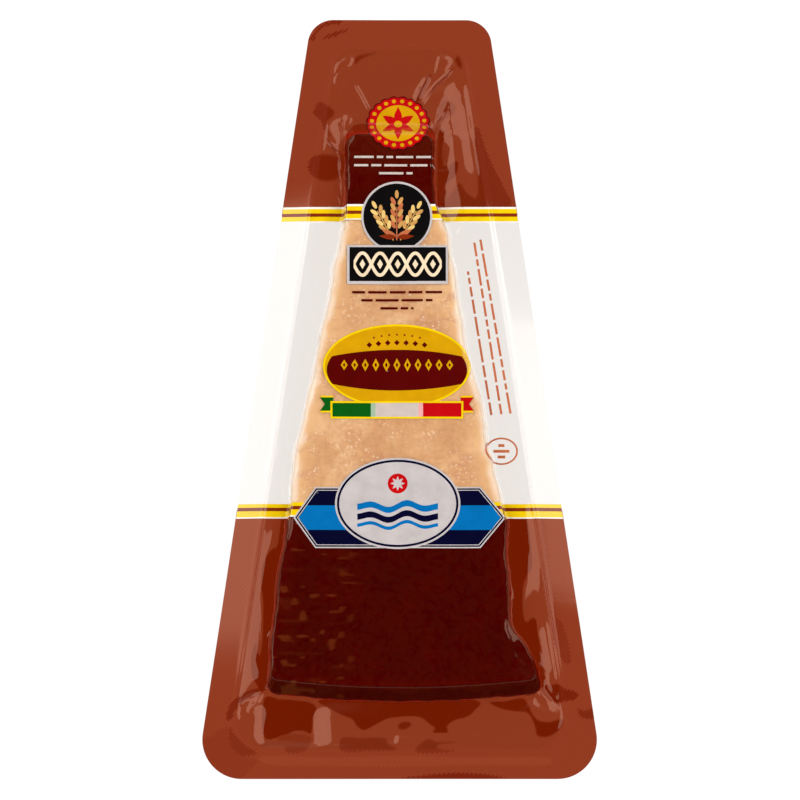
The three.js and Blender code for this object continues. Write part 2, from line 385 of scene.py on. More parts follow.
# Creases of the free film: their points, by pixel of the reference view, their half width and their height.
# A ridge rises and falls again. A step goes from low on its right to high on its left, and settles slowly.
CREASE_REACH = 30
RIDGES = (
    (((354, 83), (362, 96), (371, 113)), 0.30, 0.20),
    (((366, 129), (352, 133), (352, 141), (343, 152), (347, 162)), 0.35, -0.25),
    (((325, 138), (334, 147), (342, 155), (348, 163)), 0.40, -0.22),
    (((421, 107), (428, 94), (436, 84), (446, 76), (456, 66)), 0.35, -0.32),
    (((415, 104), (421, 90), (430, 74)), 0.9, 0.30),
    (((434, 127), (440, 118), (451, 104)), 0.45, 0.16),
    (((434, 127), (444, 122), (456, 118)), 0.45, 0.16),
    (((434, 127), (436, 117), (437, 110)), 0.35, 0.14),
    (((436, 143), (446, 135), (458, 131)), 0.6, 0.16),
    (((258, 693), (248, 697), (239, 703), (231, 713)), 0.45, 0.45),
    (((263, 691), (257, 701), (246, 712)), 0.6, -0.35),
    (((226, 722), (232, 720), (238, 727)), 0.6, 0.35),
    (((236, 717), (246, 710), (256, 702)), 1.4, 0.28),
    (((541, 684), (547, 693), (557, 705)), 0.6, 0.26),
    (((538, 686), (543, 695), (551, 704)), 0.6, -0.22),
    (((470, 733), (483, 735)), 0.25, -0.12),
    (((508, 584), (510, 591), (511, 600)), 0.45, 0.25),
    (((507, 616), (507, 630), (511, 640), (517, 634)), 0.5, 0.28),
    (((292, 515), (291, 530), (286, 548)), 0.35, 0.18),
    (((297, 518), (300, 527)), 0.4, 0.16),
)
STEPS = (
    (((329, 80), (343, 70), (358, 58)), 0.75, 0.26),
    (((331, 120), (335, 131), (344, 149)), 1.1, 0.30),
    (((353, 116), (349, 124), (346, 133)), 0.6, -0.18),
    (((437, 53), (446, 55), (455, 62)), 1.0, -0.30),
    (((265, 702), (261, 716), (259, 732), (258, 754)), 1.4, -0.36),
    (((322, 700), (322, 722), (322, 741), (324, 762)), 2.4, 0.56),
    (((398, 734), (395, 745)), 0.6, 0.16),
    (((540, 617), (544, 639), (547, 660), (549, 684)), 1.8, 0.46),
    (((531, 697), (540, 706), (553, 713)), 1.0, -0.24),
    (((452, 80), (455, 108), (450, 140)), 2.4, -0.50),
    (((461, 100), (467, 138), (472, 190)), 2.0, -0.42),
)


def polyline_distance(p, points):
    """The distance from each place to a polyline, positive on its left, and the nearest place's share."""
    best = np.full(len(p), 1e9)
    share = np.zeros(len(p))
    count = len(points) - 1
    for k in range(count):
        step = points[k + 1] - points[k]
        away = p - points[k]
        t = np.clip(away @ step / (step @ step), 0, 1)
        rest = away - t[:, None] * step
        distance = np.hypot(*rest.T)
        signed = np.where(step[0] * rest[:, 1] - step[1] * rest[:, 0] < 0, -distance, distance)
        nearer = distance < np.abs(best)
        best = np.where(nearer, signed, best)
        share = np.where(nearer, (k + t) / count, share)
    return best, share


def crease_relief(p):
    """The height of all ridges and steps at each place."""
    total = np.zeros(len(p))
    for table, is_step in ((RIDGES, False), (STEPS, True)):
        for pixels, width, height in table:
            points = on_film(pixels)
            near = np.abs(p - points.mean(axis=0)).max(axis=1) < CREASE_REACH
            distance, share = polyline_distance(p[near], points)
            ends = smooth(share, 0, 0.25) * smooth(1 - share, 0, 0.25)
            if is_step:
                profile = np.tanh(distance / width) * np.exp(-(distance / (5 * width)) ** 2)
            else:
                profile = np.exp(-(distance / width) ** 2)
            total[near] += height * ends * profile
    return total


def slack_relief(p):
    """Soft waves of the free film, longer than they are wide."""
    return layered_noise(p * np.array([1.0, 0.55]), ((0.07, 4.2, 11), (0.015, 1.9, 12)))


def pucker_relief(p):
    """Small puckers of the film over the cheese, on soft swells."""
    squashed = p * np.array([0.75, 1.3])
    return 0.035 * noise(squashed, 2.1, 21) + 0.012 * noise(p, 1.1, 22) + 0.06 * noise(p, 7.0, 23)


# ---------------------------------------------------------------- where the film touches

# Where the free film lies wet on the back film: how much of its haze goes there, and the place's outline by
# pixel of the reference view.
WET_PLACES = (
    # beside the cheese, left
    (1.0, ((331, 222), (322, 228), (318, 242), (315, 258), (314, 274), (317, 292), (321, 276), (326, 258),
           (332, 244))),
    (1.0, ((322, 326), (316, 331), (309, 342), (305, 354), (305, 366), (308, 378), (307, 387), (300, 395),
           (292, 409), (288, 422), (286, 440), (286, 452), (282, 466), (281, 482), (282, 508), (280, 528),
           (277, 546), (272, 549), (266, 557), (262, 568), (261, 584), (263, 600), (263, 628), (262, 644),
           (260, 654), (257, 652), (256, 643), (253, 648), (251, 660), (252, 675), (257, 685), (263, 691),
           (280, 670), (284, 600), (296, 548), (300, 480), (308, 425), (322, 390), (330, 340))),
    # beside the cheese, right
    (1.0, ((468, 330), (477, 346), (485, 368), (494, 400), (497, 430), (501, 446), (507, 468), (514, 490),
           (524, 508), (528, 522), (531, 545), (532, 566), (527, 576), (523, 588), (523, 612), (526, 622),
           (532, 618), (536, 620), (538, 634), (542, 656), (544, 674), (545, 684), (520, 690), (500, 600),
           (495, 500), (478, 420), (460, 340))),
    (0.5, ((552, 619), (560, 620), (566, 634), (570, 652), (570, 664), (564, 662), (557, 652), (553, 636))),
    (0.3, ((540, 519), (545, 519), (549, 560), (555, 600), (556, 618), (549, 616), (545, 590))),
    # the narrow end
    (0.9, ((308, 168), (311, 159), (318, 155), (330, 155), (341, 158), (347, 162), (344, 172), (337, 179),
           (326, 181), (314, 177))),
    (0.8, ((313, 113), (316, 106), (321, 102), (328, 106), (334, 111), (333, 116), (327, 121), (327, 128),
           (331, 136), (325, 131), (321, 121), (317, 117))),
    (0.9, ((324, 137), (333, 145), (343, 154), (350, 160), (348, 164), (340, 156), (330, 147))),
    (1.0, ((441, 166), (448, 166), (454, 162), (458, 163), (457, 172), (452, 179), (441, 183))),
    (0.75, ((474, 131), (479, 129), (486, 150), (495, 170), (503, 186), (508, 208), (446, 208), (449, 197),
           (459, 183), (466, 192), (475, 198), (478, 190), (477, 170), (475, 150))),
    (0.9, ((455, 60), (458, 56), (461, 61), (462, 68), (458, 66))),
    (0.9, ((430, 75), (430, 80), (425, 90), (420, 100), (414, 106), (420, 89))),
    (0.9, ((454, 69), (448, 72), (440, 80), (433, 87), (430, 95), (437, 86), (446, 78))),
    (0.8, ((356, 57), (366, 54), (376, 53), (368, 56), (360, 60), (355, 64))),
    (0.6, ((440, 104), (448, 100), (456, 106), (453, 114), (444, 120), (437, 122))),
    (1.0, ((440, 128), (444, 134), (442, 150), (443, 168), (446, 190), (446, 208), (438, 208), (438, 150))),
    # the corner flap and its comb
    (0.9, ((311, 38), (315, 31), (321, 25), (331, 21), (342, 19), (339, 24), (333, 24), (322, 28),
           (317, 33), (314, 40), (308, 40))),
    (0.9, ((321, 39), (330, 34), (339, 31), (349, 29), (342, 33), (333, 37))),
    # the wide end
    (1.0, ((264, 699), (280, 699), (296, 700), (309, 702), (316, 707), (313, 718), (311, 733), (304, 731),
           (294, 731), (284, 735), (264, 737))),
    (1.0, ((322, 699), (331, 709), (342, 715), (352, 719), (357, 726), (364, 730), (373, 726), (386, 719),
           (398, 717), (412, 716), (422, 718), (431, 725), (435, 728), (433, 732), (441, 733), (448, 732),
           (447, 726), (455, 720), (466, 717), (474, 711), (475, 700), (400, 696))),
    (0.9, ((398, 726), (402, 722), (409, 722), (411, 725), (406, 729), (400, 729))),
    (1.0, ((490, 702), (505, 701), (522, 698), (528, 704), (532, 713), (538, 720), (549, 722), (562, 719),
           (561, 727), (554, 734), (545, 737), (537, 735), (535, 726), (528, 713), (514, 711), (500, 708))),
    (1.0, ((540, 683), (550, 685), (558, 684), (565, 689), (571, 690), (578, 694), (576, 699), (567, 701),
           (560, 702), (556, 704), (548, 695))),
    (0.8, ((578, 709), (585, 711), (591, 708), (595, 712), (594, 718), (587, 719), (580, 716))),
    (0.6, ((342, 738), (360, 738), (384, 738), (388, 744), (397, 750), (370, 751), (342, 751))),
    (0.6, ((424, 741), (431, 739), (437, 742), (456, 742), (438, 745), (440, 749), (456, 751), (430, 753),
           (415, 751))),
    (0.5, ((262, 742), (286, 742), (309, 741), (307, 749), (298, 753), (286, 752), (283, 746), (262, 746))),
    (0.6, ((230, 727), (235, 735), (244, 744), (256, 753), (243, 756), (233, 751), (229, 741))),
    (0.9, ((262, 688), (250, 690), (238, 697), (230, 705), (226, 718), (231, 719), (237, 707), (249, 698),
           (258, 694))),
    (0.9, ((400, 781), (404, 778), (420, 776), (450, 773), (480, 774), (500, 777), (506, 781))),
    (0.25, ((201, 742), (213, 735), (226, 727), (230, 742), (240, 755), (258, 760), (252, 768), (240, 779),
           (222, 777), (206, 766))),
    (0.4, ((277, 735), (284, 733), (300, 734), (310, 736), (310, 741), (296, 741), (280, 741))),
    # places with more haze
    (-0.3, ((262, 756), (330, 757), (400, 756), (470, 757), (540, 757), (552, 761), (540, 766), (470, 765),
            (400, 767), (330, 766), (270, 765))),
)


def closed_curve(points, steps=6):
    """A smooth closed curve through some points."""
    points = np.asarray(points, float)
    t = np.linspace(0, 1, steps, endpoint=False)[None, :, None]
    a, b, c, d = (np.roll(points, -k, axis=0)[:, None, :] for k in (-1, 0, 1, 2))
    curve = 0.5 * (2 * b + (c - a) * t + (2 * a - 5 * b + 4 * c - d) * t ** 2
                   + (3 * b - a - 3 * c + d) * t ** 3)
    return curve.reshape(-1, 2)


def inside(outline, points):
    """Which points lie inside an outline."""
    x, y = points[:, 0], points[:, 1]
    result = np.zeros(len(points), bool)
    for (ax, ay), (bx, by) in zip(outline, np.roll(outline, -1, axis=0)):
        if ay == by:
            continue
        crosses = (ay > y) != (by > y)
        result ^= crosses & (x < (bx - ax) * (y - ay) / (by - ay) + ax)
    return result


# How wide the edge of a wet place is, where it is wet through and where it is wet in part.
SHARP_BLUR = 0.15
SOFT_BLUR = 0.4


def wetness(p, least_blur=SHARP_BLUR):
    """How far each place lies inside a wet outline, from 0 to 1 across its edge, and that outline's depth."""
    wet, depths = np.zeros(len(p)), np.zeros(len(p))
    for depth, pixels in WET_PLACES:
        outline = closed_curve(on_film(pixels))
        low, high = outline.min(axis=0) - 1, outline.max(axis=0) + 1
        near = np.flatnonzero(((p > low) & (p < high)).all(axis=1))
        distance = polyline_distance(p[near], np.concatenate([outline, outline[:1]]))[0]
        signed = np.where(inside(outline, p[near]), 1, -1) * np.abs(distance)
        blur = max(least_blur, SHARP_BLUR if depth == 1 else SOFT_BLUR)
        level = smooth(signed, -blur, blur)
        wetter = level > wet[near]
        wet[near[wetter]] = level[wetter]
        depths[near[wetter]] = depth
    return wet, depths


def looseness(p):
    """How much haze the free film shows: 1 where it hangs free, less where it lies wet on the back film."""
    wet, depth = wetness(p)
    return 1 - depth * wet


TIP_HAZE = 0.08
BUBBLE_HAZE = 0.36
MOTTLE_HAZE = 0.055


def face_looseness(p):
    """Haze of the film on the cheese: thin air near the tip, and small bubbles on the left near the heel."""
    tip = TIP_HAZE * smooth(p[:, 1] + 2.0 * noise(p, 6.0, 71), 57, 65)
    lenses = smooth(noise(p * np.array([0.6, 1.4]), 1.5, 72), 0.50, 0.75)
    streaks = smooth(noise(p * np.array([0.3, 1.3]), 2.2, 73), 0.45, 0.90)
    left = smooth(-p[:, 0] + 2.5 * noise(p, 8.0, 74), 6, 18) * smooth(-p[:, 1], 34, 40)
    bubbles = BUBBLE_HAZE * left * np.maximum(lenses, 0.3 * streaks)
    mottle = MOTTLE_HAZE * smooth(np.abs(noise(warp(p, 0.8, 1.5, (76, 77)), 1.5, 75)), 0.02, 0.3)
    return np.clip(np.maximum(tip, bubbles) + mottle, 0, 1)


# ---------------------------------------------------------------- meshes

def make_mesh(name, vertices, faces, materials, material_index=None, attributes=None):
    """A smooth mesh object from millimetres, with its materials and its point attributes."""
    mesh = bpy.data.meshes.new(name)
    mesh.from_pydata((np.asarray(vertices) * MM).tolist(), [], np.asarray(faces).tolist())
    for material in materials:
        mesh.materials.append(material)
    if material_index is not None:
        mesh.polygons.foreach_set("material_index", np.asarray(material_index, np.int32))
    for key, values in (attributes or {}).items():
        layer = mesh.attributes.new(key, "FLOAT", "POINT")
        layer.data.foreach_set("value", np.asarray(values, np.float32))
    mesh.polygons.foreach_set("use_smooth", np.ones(len(mesh.polygons), bool))
    mesh.validate()
    mesh.update()
    piece = bpy.data.objects.new(name, mesh)
    bpy.context.scene.collection.objects.link(piece)
    return piece


def skin(ring_count, points_per_ring):
    """The quads between rings of points that run counter-clockwise and inwards."""
    i = np.arange(points_per_ring)
    following = (i + 1) % points_per_ring
    quads = []
    for r in range(ring_count - 1):
        a, b = r * points_per_ring, (r + 1) * points_per_ring
        quads.append(np.stack([a + i, a + following, b + following, b + i], -1))
    return np.concatenate(quads)


def declare(piece):
    """Fixes a piece to the pack and lets it stand for the CAD solid."""
    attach(piece, "root")
    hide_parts(NODE)


# ---------------------------------------------------------------- materials

WHITE, GREY, BLACK = (1, 1, 1), (0.5, 0.5, 0.5), (0, 0, 0)

# The weld's knurl: its pitch, its part in the haze, and its part in the edges of the wet places.
KNURL_PERIOD = 0.85
KNURL_TEETH = 0.16
KNURL_HATCH = 0.5

# A film's gloss and its fine relief, and the same where it is knurled.
FILM_MIRROR = 0.04
FILM_ROUGHNESS = 0.06
FILM_RELIEF = 0.05
KNURL_ROUGHNESS = 0.2
KNURL_RELIEF = 0.07
FINE_GRAIN = 900
FINE_DEPTH = 0.0001


def new_material(name):
    """An empty node material and its output."""
    material = bpy.data.materials.new(name)
    material.use_nodes = True
    material.node_tree.nodes.clear()
    return material, material.node_tree.nodes.new("ShaderNodeOutputMaterial")


def add(material, kind, **settings):
    """A node with its input values, which are given by socket name with _ for a space."""
    node = material.node_tree.nodes.new("ShaderNode" + kind)
    for key, value in settings.items():
        node.inputs[key.replace("_", " ")].default_value = value
    return node


def link(material, *pairs):
    """Joins output sockets to input sockets."""
    for source, target in pairs:
        material.node_tree.links.new(source, target)


def object_place(material):
    """The object coordinates, in metres."""
    return material.node_tree.nodes.new("ShaderNodeTexCoord").outputs["Object"]


def attribute(material, name):
    """The value of one of the mesh's point attributes."""
    node = material.node_tree.nodes.new("ShaderNodeAttribute")
    node.attribute_name = name
    return node.outputs["Fac"]


def noise_texture(material, scale, detail=2.0, roughness=0.5):
    """A noise texture over the object's own coordinates; scale is features per metre."""
    texture = add(material, "TexNoise", Scale=scale, Detail=detail, Roughness=roughness)
    link(material, (object_place(material), texture.inputs["Vector"]))
    return texture


def colour_ramp(material, source, stops):
    """A colour ramp with (position, colour) stops."""
    ramp = material.node_tree.nodes.new("ShaderNodeValToRGB")
    elements = ramp.color_ramp.elements
    elements[0].position, elements[0].color = stops[0][0], (*stops[0][1], 1)
    elements[1].position, elements[1].color = stops[-1][0], (*stops[-1][1], 1)
    for position, colour in stops[1:-1]:
        elements.new(position).color = (*colour, 1)
    link(material, (source, ramp.inputs["Fac"]))
    return ramp.outputs["Color"]


def mix_colour(material, share, first, second, mode="MIX"):
    """A colour mix; share and colours are sockets or values."""
    node = material.node_tree.nodes.new("ShaderNodeMix")
    node.data_type = "RGBA"
    node.blend_type = mode
    for value, index in ((share, 0), (first, 6), (second, 7)):
        if isinstance(value, bpy.types.NodeSocket):
            link(material, (value, node.inputs[index]))
        elif index == 0:
            node.inputs[index].default_value = value
        else:
            node.inputs[index].default_value = (*value, 1)
    return node.outputs[2]


def wave_lines(material, degrees, period):
    """Fine straight lines, 0 to 1 and back over each period, in millimetres, at an angle."""
    turn = add(material, "Mapping", Rotation=(0, 0, math.radians(degrees)))
    lines = add(material, "TexWave", Scale=2 * math.pi / (20 * period * MM), Distortion=0.6, Detail=1.0)
    link(material, (object_place(material), turn.inputs["Vector"]), (turn.outputs[0], lines.inputs["Vector"]))
    return lines.outputs["Fac"]


def maths(material, operation, *values):
    """A maths node; each value is a socket or a number."""
    node = material.node_tree.nodes.new("ShaderNodeMath")
    node.operation = operation
    for value, target in zip(values, node.inputs):
        if isinstance(value, bpy.types.NodeSocket):
            link(material, (value, target))
        else:
            target.default_value = value
    return node.outputs[0]


def mirror_share(material, normal):
    """How much a film mirrors at each angle, which is the same from both of its sides."""
    weight = add(material, "LayerWeight", Blend=0.5)
    link(material, (normal, weight.inputs["Normal"]))
    grazing = maths(material, "POWER", weight.outputs["Facing"], 5.0)
    return maths(material, "MULTIPLY_ADD", grazing, 1 - FILM_MIRROR, FILM_MIRROR)


def fine_relief(material):
    """The height of a film's own fine grain."""
    return noise_texture(material, FINE_GRAIN, detail=3).outputs["Fac"]


def knurl(material):
    """The knurl's height, and the weld's haze: none where it is wet, and a little more on the teeth."""
    rising, falling = wave_lines(material, 45, KNURL_PERIOD), wave_lines(material, -45, KNURL_PERIOD)
    height = mix_colour(material, 0.35, rising, falling)
    patches = noise_texture(material, 70, detail=1).outputs["Fac"]
    where = colour_ramp(material, patches, ((0.45, BLACK), (0.60, WHITE)))
    height = mix_colour(material, where, GREY, height)
    lines = mix_colour(material, 0.25, rising, falling)
    hatched = maths(material, "MULTIPLY_ADD", lines, KNURL_HATCH, attribute(material, "wet"))
    middle = 0.5 + KNURL_HATCH / 2
    wet = colour_ramp(material, hatched, ((middle - 0.1, BLACK), (middle + 0.1, WHITE)))
    wet = maths(material, "MULTIPLY", wet, attribute(material, "depth"))
    dry = maths(material, "MULTIPLY_ADD", wet, -1.0, 1.0)
    return height, maths(material, "MULTIPLY_ADD", height, KNURL_TEETH, dry)


def film_material(name, tint, gloss_tint, haze_colour, haze, knurled=False):
    """A glossy see-through film with a haze wherever it hangs free; the weld is knurled in patches."""
    material, output = new_material(name)
    clear = add(material, "BsdfTransparent", Color=(*tint, 1))
    cloud = add(material, "BsdfDiffuse", Color=(*haze_colour, 1))
    gloss = add(material, "BsdfGlossy", Color=(*gloss_tint, 1),
                Roughness=KNURL_ROUGHNESS if knurled else FILM_ROUGHNESS)
    body = add(material, "MixShader")
    surface = add(material, "MixShader")
    relief = add(material, "Bump", Strength=KNURL_RELIEF if knurled else FILM_RELIEF, Distance=FINE_DEPTH)
    height, loose = knurl(material) if knurled else (fine_relief(material), attribute(material, "loose"))
    share = maths(material, "MULTIPLY", loose, haze)
    mirror = mirror_share(material, relief.outputs[0])
    link(material, (height, relief.inputs["Height"]), (relief.outputs[0], gloss.inputs["Normal"]),
         (share, body.inputs[0]), (clear.outputs[0], body.inputs[1]), (cloud.outputs[0], body.inputs[2]),
         (mirror, surface.inputs[0]), (body.outputs[0], surface.inputs[1]),
         (gloss.outputs[0], surface.inputs[2]), (surface.outputs[0], output.inputs["Surface"]))
    return material


def ink_material(name, colour):
    """Printed ink under a glossy film, a little uneven in tone."""
    material, output = new_material(name)
    surface = add(material, "BsdfPrincipled", Roughness=0.12, IOR=1.5)
    tone = noise_texture(material, 260, detail=4)
    darker = tuple(0.86 * c for c in colour)
    shade = colour_ramp(material, tone.outputs["Fac"], ((0.3, darker), (0.65, colour)))
    relief = add(material, "Bump", Strength=FILM_RELIEF, Distance=FINE_DEPTH)
    link(material, (shade, surface.inputs["Base Color"]), (fine_relief(material), relief.inputs["Height"]),
         (relief.outputs[0], surface.inputs["Normal"]), (surface.outputs[0], output.inputs["Surface"]))
    return material


def stain(material, base, mask, strength, colour):
    """A colour with another one over it where a mask is up."""
    return mix_colour(material, maths(material, "MULTIPLY", mask, strength), base, colour)


def crystal_spots(material, scale, low, high, where):
    """White crystals: the middles of small cells, kept only where a mask is up."""
    cells = add(material, "TexVoronoi", Scale=scale, Randomness=1.0)
    link(material, (object_place(material), cells.inputs["Vector"]))
    spots = colour_ramp(material, cells.outputs["Distance"], ((low, WHITE), (high, BLACK)))
    return mix_colour(material, 1.0, spots, where, "MULTIPLY")


PASTE_TONES = ((0.35, (0.53, 0.255, 0.104)), (0.50, (0.585, 0.302, 0.128)), (0.64, (0.67, 0.393, 0.194)))
GRAIN_TONES = ((0.36, (0.92, 0.89, 0.86)), (0.50, WHITE), (0.66, (1.04, 1.06, 1.09)))
EDGE_COLOUR = (0.70, 0.405, 0.18)
VEIN_COLOUR = (0.48, 0.205, 0.10)
# The cracks' pinkish tone, darkened as painted shade in them.
CRACK_SHADE_COLOUR = (0.50, 0.215, 0.11)
CRYSTAL_COLOUR = (0.80, 0.59, 0.40)
# The colour of the painted glow on the cheese's cut edges and sides.
PAINTED_GLOW_COLOUR = (0.77, 0.61, 0.46)
RIND_COLOUR = (0.46, 0.25, 0.10)


def cheese_material():
    """Aged cheese: peach-straw paste with granules, veins, short cracks with painted shade in them, white
    crystals, a painted glow at its pale cut edges and sides, and a darker rind.
    """
    material, output = new_material("aged_cheese")
    surface = add(material, "BsdfPrincipled", Roughness=0.5, IOR=1.45, Subsurface_Weight=0.2,
                  Subsurface_Radius=(1.0, 0.45, 0.2), Subsurface_Scale=0.002)
    broad = noise_texture(material, 95, detail=4, roughness=0.6)
    paste = colour_ramp(material, broad.outputs["Fac"], PASTE_TONES)
    grains = noise_texture(material, 800, detail=4, roughness=0.6)
    speckle = colour_ramp(material, grains.outputs["Fac"], GRAIN_TONES)
    paste = mix_colour(material, 1.0, paste, speckle, "MULTIPLY")
    paste = stain(material, paste, attribute(material, "near_edge"), 0.9, EDGE_COLOUR)
    clusters = noise_texture(material, 125, detail=3)
    where = colour_ramp(material, clusters.outputs["Fac"], ((0.45, BLACK), (0.58, (0.6, 0.6, 0.6))))
    veins = noise_texture(material, 170, detail=4, roughness=0.65)
    veins = colour_ramp(material, veins.outputs["Fac"], ((0.465, BLACK), (0.50, WHITE), (0.535, BLACK)))
    paste = stain(material, paste, maths(material, "MULTIPLY", veins, where), 0.6, VEIN_COLOUR)
    crack = attribute(material, "crack")
    where = stain(material, where, crack, 0.9, WHITE)
    # The cracks are darker in their own pinkish tone, with painted shade in them as well.
    paste = stain(material, paste, crack, 0.5, CRACK_SHADE_COLOUR)
    for scale, low, high in ((560.0, 0.08, 0.24), (980.0, 0.10, 0.32)):
        paste = mix_colour(material, crystal_spots(material, scale, low, high, where), paste, CRYSTAL_COLOUR)
    # Painted glow: the pale attribute lightens the cut edges and sides, standing in for light that glows
    # through the cheese.
    paste = stain(material, paste, attribute(material, "pale"), 0.9, PAINTED_GLOW_COLOUR)
    paste = mix_colour(material, attribute(material, "rind"), paste, RIND_COLOUR)
    relief = add(material, "Bump", Strength=0.35, Distance=0.0003)
    link(material, (paste, surface.inputs["Base Color"]), (grains.outputs["Fac"], relief.inputs["Height"]),
         (relief.outputs[0], surface.inputs["Normal"]), (surface.outputs[0], output.inputs["Surface"]))
    return material


# The films: what passes through them, the tint of their gloss, and the colour and strength of their haze.
BROWN_GLOSS = (1.0, 0.62, 0.45)
BROWN_HAZE = (0.93, 0.25, 0.105)
FACE_HAZE = (0.95, 0.24, 0.05)
CLEAR_HAZE = (0.9, 0.9, 0.9)
FREE_BROWN = film_material("brown_film", (0.185, 0.0120, 0.0003), BROWN_GLOSS, BROWN_HAZE, 0.095)
WELD_BROWN = film_material("brown_weld", (0.20, 0.0120, 0.0003), BROWN_GLOSS, BROWN_HAZE, 0.085, knurled=True)
FACE_BROWN = film_material("brown_film_on_cheese", (0.27, 0.004, 0.0003), BROWN_GLOSS, FACE_HAZE, 0.12)
FREE_CLEAR = film_material("clear_front_film", (0.91, 0.875, 0.85), WHITE, CLEAR_HAZE, 0.02)
WELD_CLEAR = film_material("clear_weld", (0.92, 0.89, 0.87), WHITE, CLEAR_HAZE, 0.03, knurled=True)
FACE_CLEAR = film_material("clear_film_on_cheese", (0.985, 0.98, 0.975), WHITE, CLEAR_HAZE, 0.02)
BACK_CLEAR = film_material("clear_back_film", (0.965, 0.955, 0.94), WHITE, CLEAR_HAZE, 0.0)

INK_COLOURS = {
    "white": (0.80, 0.75, 0.70),
    "pearl": (0.53, 0.445, 0.395),
    "cream": (0.80, 0.62, 0.42),
    "wheat": (0.72, 0.48, 0.16),
    "pale_green": (0.30, 0.42, 0.28),
    "pale_red": (0.72, 0.34, 0.32),
    "silver": (0.49, 0.44, 0.43),
    "yellow": (0.78, 0.52, 0.002),
    "gold": (0.58, 0.29, 0.001),
    "brown": (0.20, 0.022, 0.004),
    "russet": (0.47, 0.13, 0.05),
    "maroon": (0.082, 0.0006, 0.0003),
    "red": (0.46, 0.002, 0.004),
    "green": (0.002, 0.085, 0.005),
    "black": (0.003, 0.0025, 0.0025),
    "navy": (0.0012, 0.0012, 0.018),
    "sky": (0.0005, 0.13, 0.37),
    "tan": (0.55, 0.28, 0.08),
}
INKS = {name: ink_material(name + "_ink", colour) for name, colour in INK_COLOURS.items()}


# ---------------------------------------------------------------- the films

# The rings of the weld and of the free films, and how wide the hatched edge of a wet place on the weld is.
WELD_INSETS = np.concatenate([[0.12, 0.14, 0.16, 0.45], np.linspace(0.8, 6.2, 14), np.linspace(6.4, 8.0, 9)])
FREE_COUNT = 44
BACK_FREE_COUNT = 14
HATCH_REACH = 0.9

# The back film's wall: how deep the ground lies below its foot, the depths of its rings, the height over
# which its rind bows out, and its pleats.
WALL_HEIGHT = 24.3
WALL_DEPTHS = (1.4, 3.5, 6, 9, 12, 15, 17.5, 19.5, 21.5, 22.8, 23.7, 24.2)
RIND_HEIGHT = 34.0
PLEAT_DEPTH = 0.6


def weld_rings(sink=0.0, curl=0.3):
    """The rings of the weld, from its outer edge to just inside its rim."""
    rings = []
    for inset in WELD_INSETS:
        p = pack_ring(inset)
        edge = curl if inset == WELD_INSETS[0] else 0.0
        rings.append(raised(p, weld_z(p, inset) - edge - sink))
    return rings


def free_rings(count, sink=0.0):
    """The rings of the free film, from the rim to the foot."""
    start, foot = pack_ring(SEAL_WIDTH + RIM_STEP), foot_ring()
    shares = [k / count for k in range(1, count + 1)]
    return [raised(lerp(start, foot, share), free_height(share) - sink) for share in shares]


# The drape's rings from the foot up: shares of the edge's bend, the straight and the foot's bend that remain.
DRAPE_STEPS = (
    [(1, 1, share) for share in (0.75, 0.5, 0.25, 0)] + [(1, share, 0) for share in (0.75, 0.5, 0.25)]
    + [(share, 0, 0) for share in (1, 0.85, 0.7, 0.55, 0.4, 0.26, 0.13, 0)]
)


def drape_rings():
    """The rings of the front film up the cheese's side: a bend, a steep straight and the edge's bend."""
    foot, edge = foot_ring(), wedge_ring(-EDGE_INSET)
    edge_z = face_z(edge) - edge_fall(edge, 0)
    span = np.linalg.norm(foot - edge, axis=1)
    across = span + EDGE_BEND * math.sin(EDGE_SLOPE)
    down = edge_z - free_height(1.0) - EDGE_BEND * math.cos(EDGE_SLOPE) - FOOT_BEND
    bends, reach = EDGE_BEND + FOOT_BEND, np.hypot(across, down)
    slope = np.arcsin(bends / reach) + np.arctan2(down, across)
    straight = np.sqrt(reach ** 2 - bends ** 2)
    rings = []
    for top, run, bottom in DRAPE_STEPS:
        a, b = lerp(EDGE_SLOPE, slope, top), slope * (1 - bottom)
        out = (EDGE_BEND * (np.sin(a) - math.sin(EDGE_SLOPE)) + run * straight * np.cos(slope)
               + FOOT_BEND * (np.sin(slope) - np.sin(b)))
        fall = (EDGE_BEND * (math.cos(EDGE_SLOPE) - np.cos(a)) + run * straight * np.sin(slope)
                + FOOT_BEND * (np.cos(b) - np.cos(slope)))
        rings.append(raised(lerp(edge, foot, (out / span)[:, None]), edge_z - fall))
    return rings


def make_weld_film():
    """The front film where it is welded to the back film, with a fine knurl."""
    vertices = np.concatenate(weld_rings())
    flat = vertices[:, :2]
    count = len(vertices) // len(WELD_INSETS)
    faces = skin(len(WELD_INSETS), count)
    return make_mesh("welded_edge_film", vertices, faces, [WELD_BROWN, WELD_CLEAR],
                     ink_by_y(vertices, faces), dict(zip(("wet", "depth"), wetness(flat, HATCH_REACH))))


def make_front_web():
    """The front film round the cheese: the free film and the drape up to the cheese's edge."""
    rings = weld_rings()[-1:] + free_rings(FREE_COUNT) + drape_rings()
    vertices = np.concatenate(rings)
    count = len(rings[0])
    flat = vertices[:, :2]
    number = np.repeat(np.arange(len(rings)), count)
    from_rim, to_foot = smooth(number, 0, 6), 1 - smooth(number, FREE_COUNT - 8, FREE_COUNT)
    vertices[:, 2] += from_rim * (to_foot * slack_relief(flat) + crease_relief(flat))
    faces = skin(len(rings), count)
    beyond_tip = vertices[faces].mean(axis=1)[:, 1] > WEDGE_TIP + 0.3
    on_cheese = np.repeat(np.arange(len(rings) - 1) >= FREE_COUNT, count) & ~beyond_tip
    loose = np.where(number > FREE_COUNT, face_looseness(flat), looseness(flat))
    films = [FREE_BROWN, FREE_CLEAR, FACE_BROWN, FACE_CLEAR]
    return make_mesh("front_film_round_cheese", vertices, faces, films,
                     ink_by_y(vertices, faces) + 2 * on_cheese, {"loose": loose})


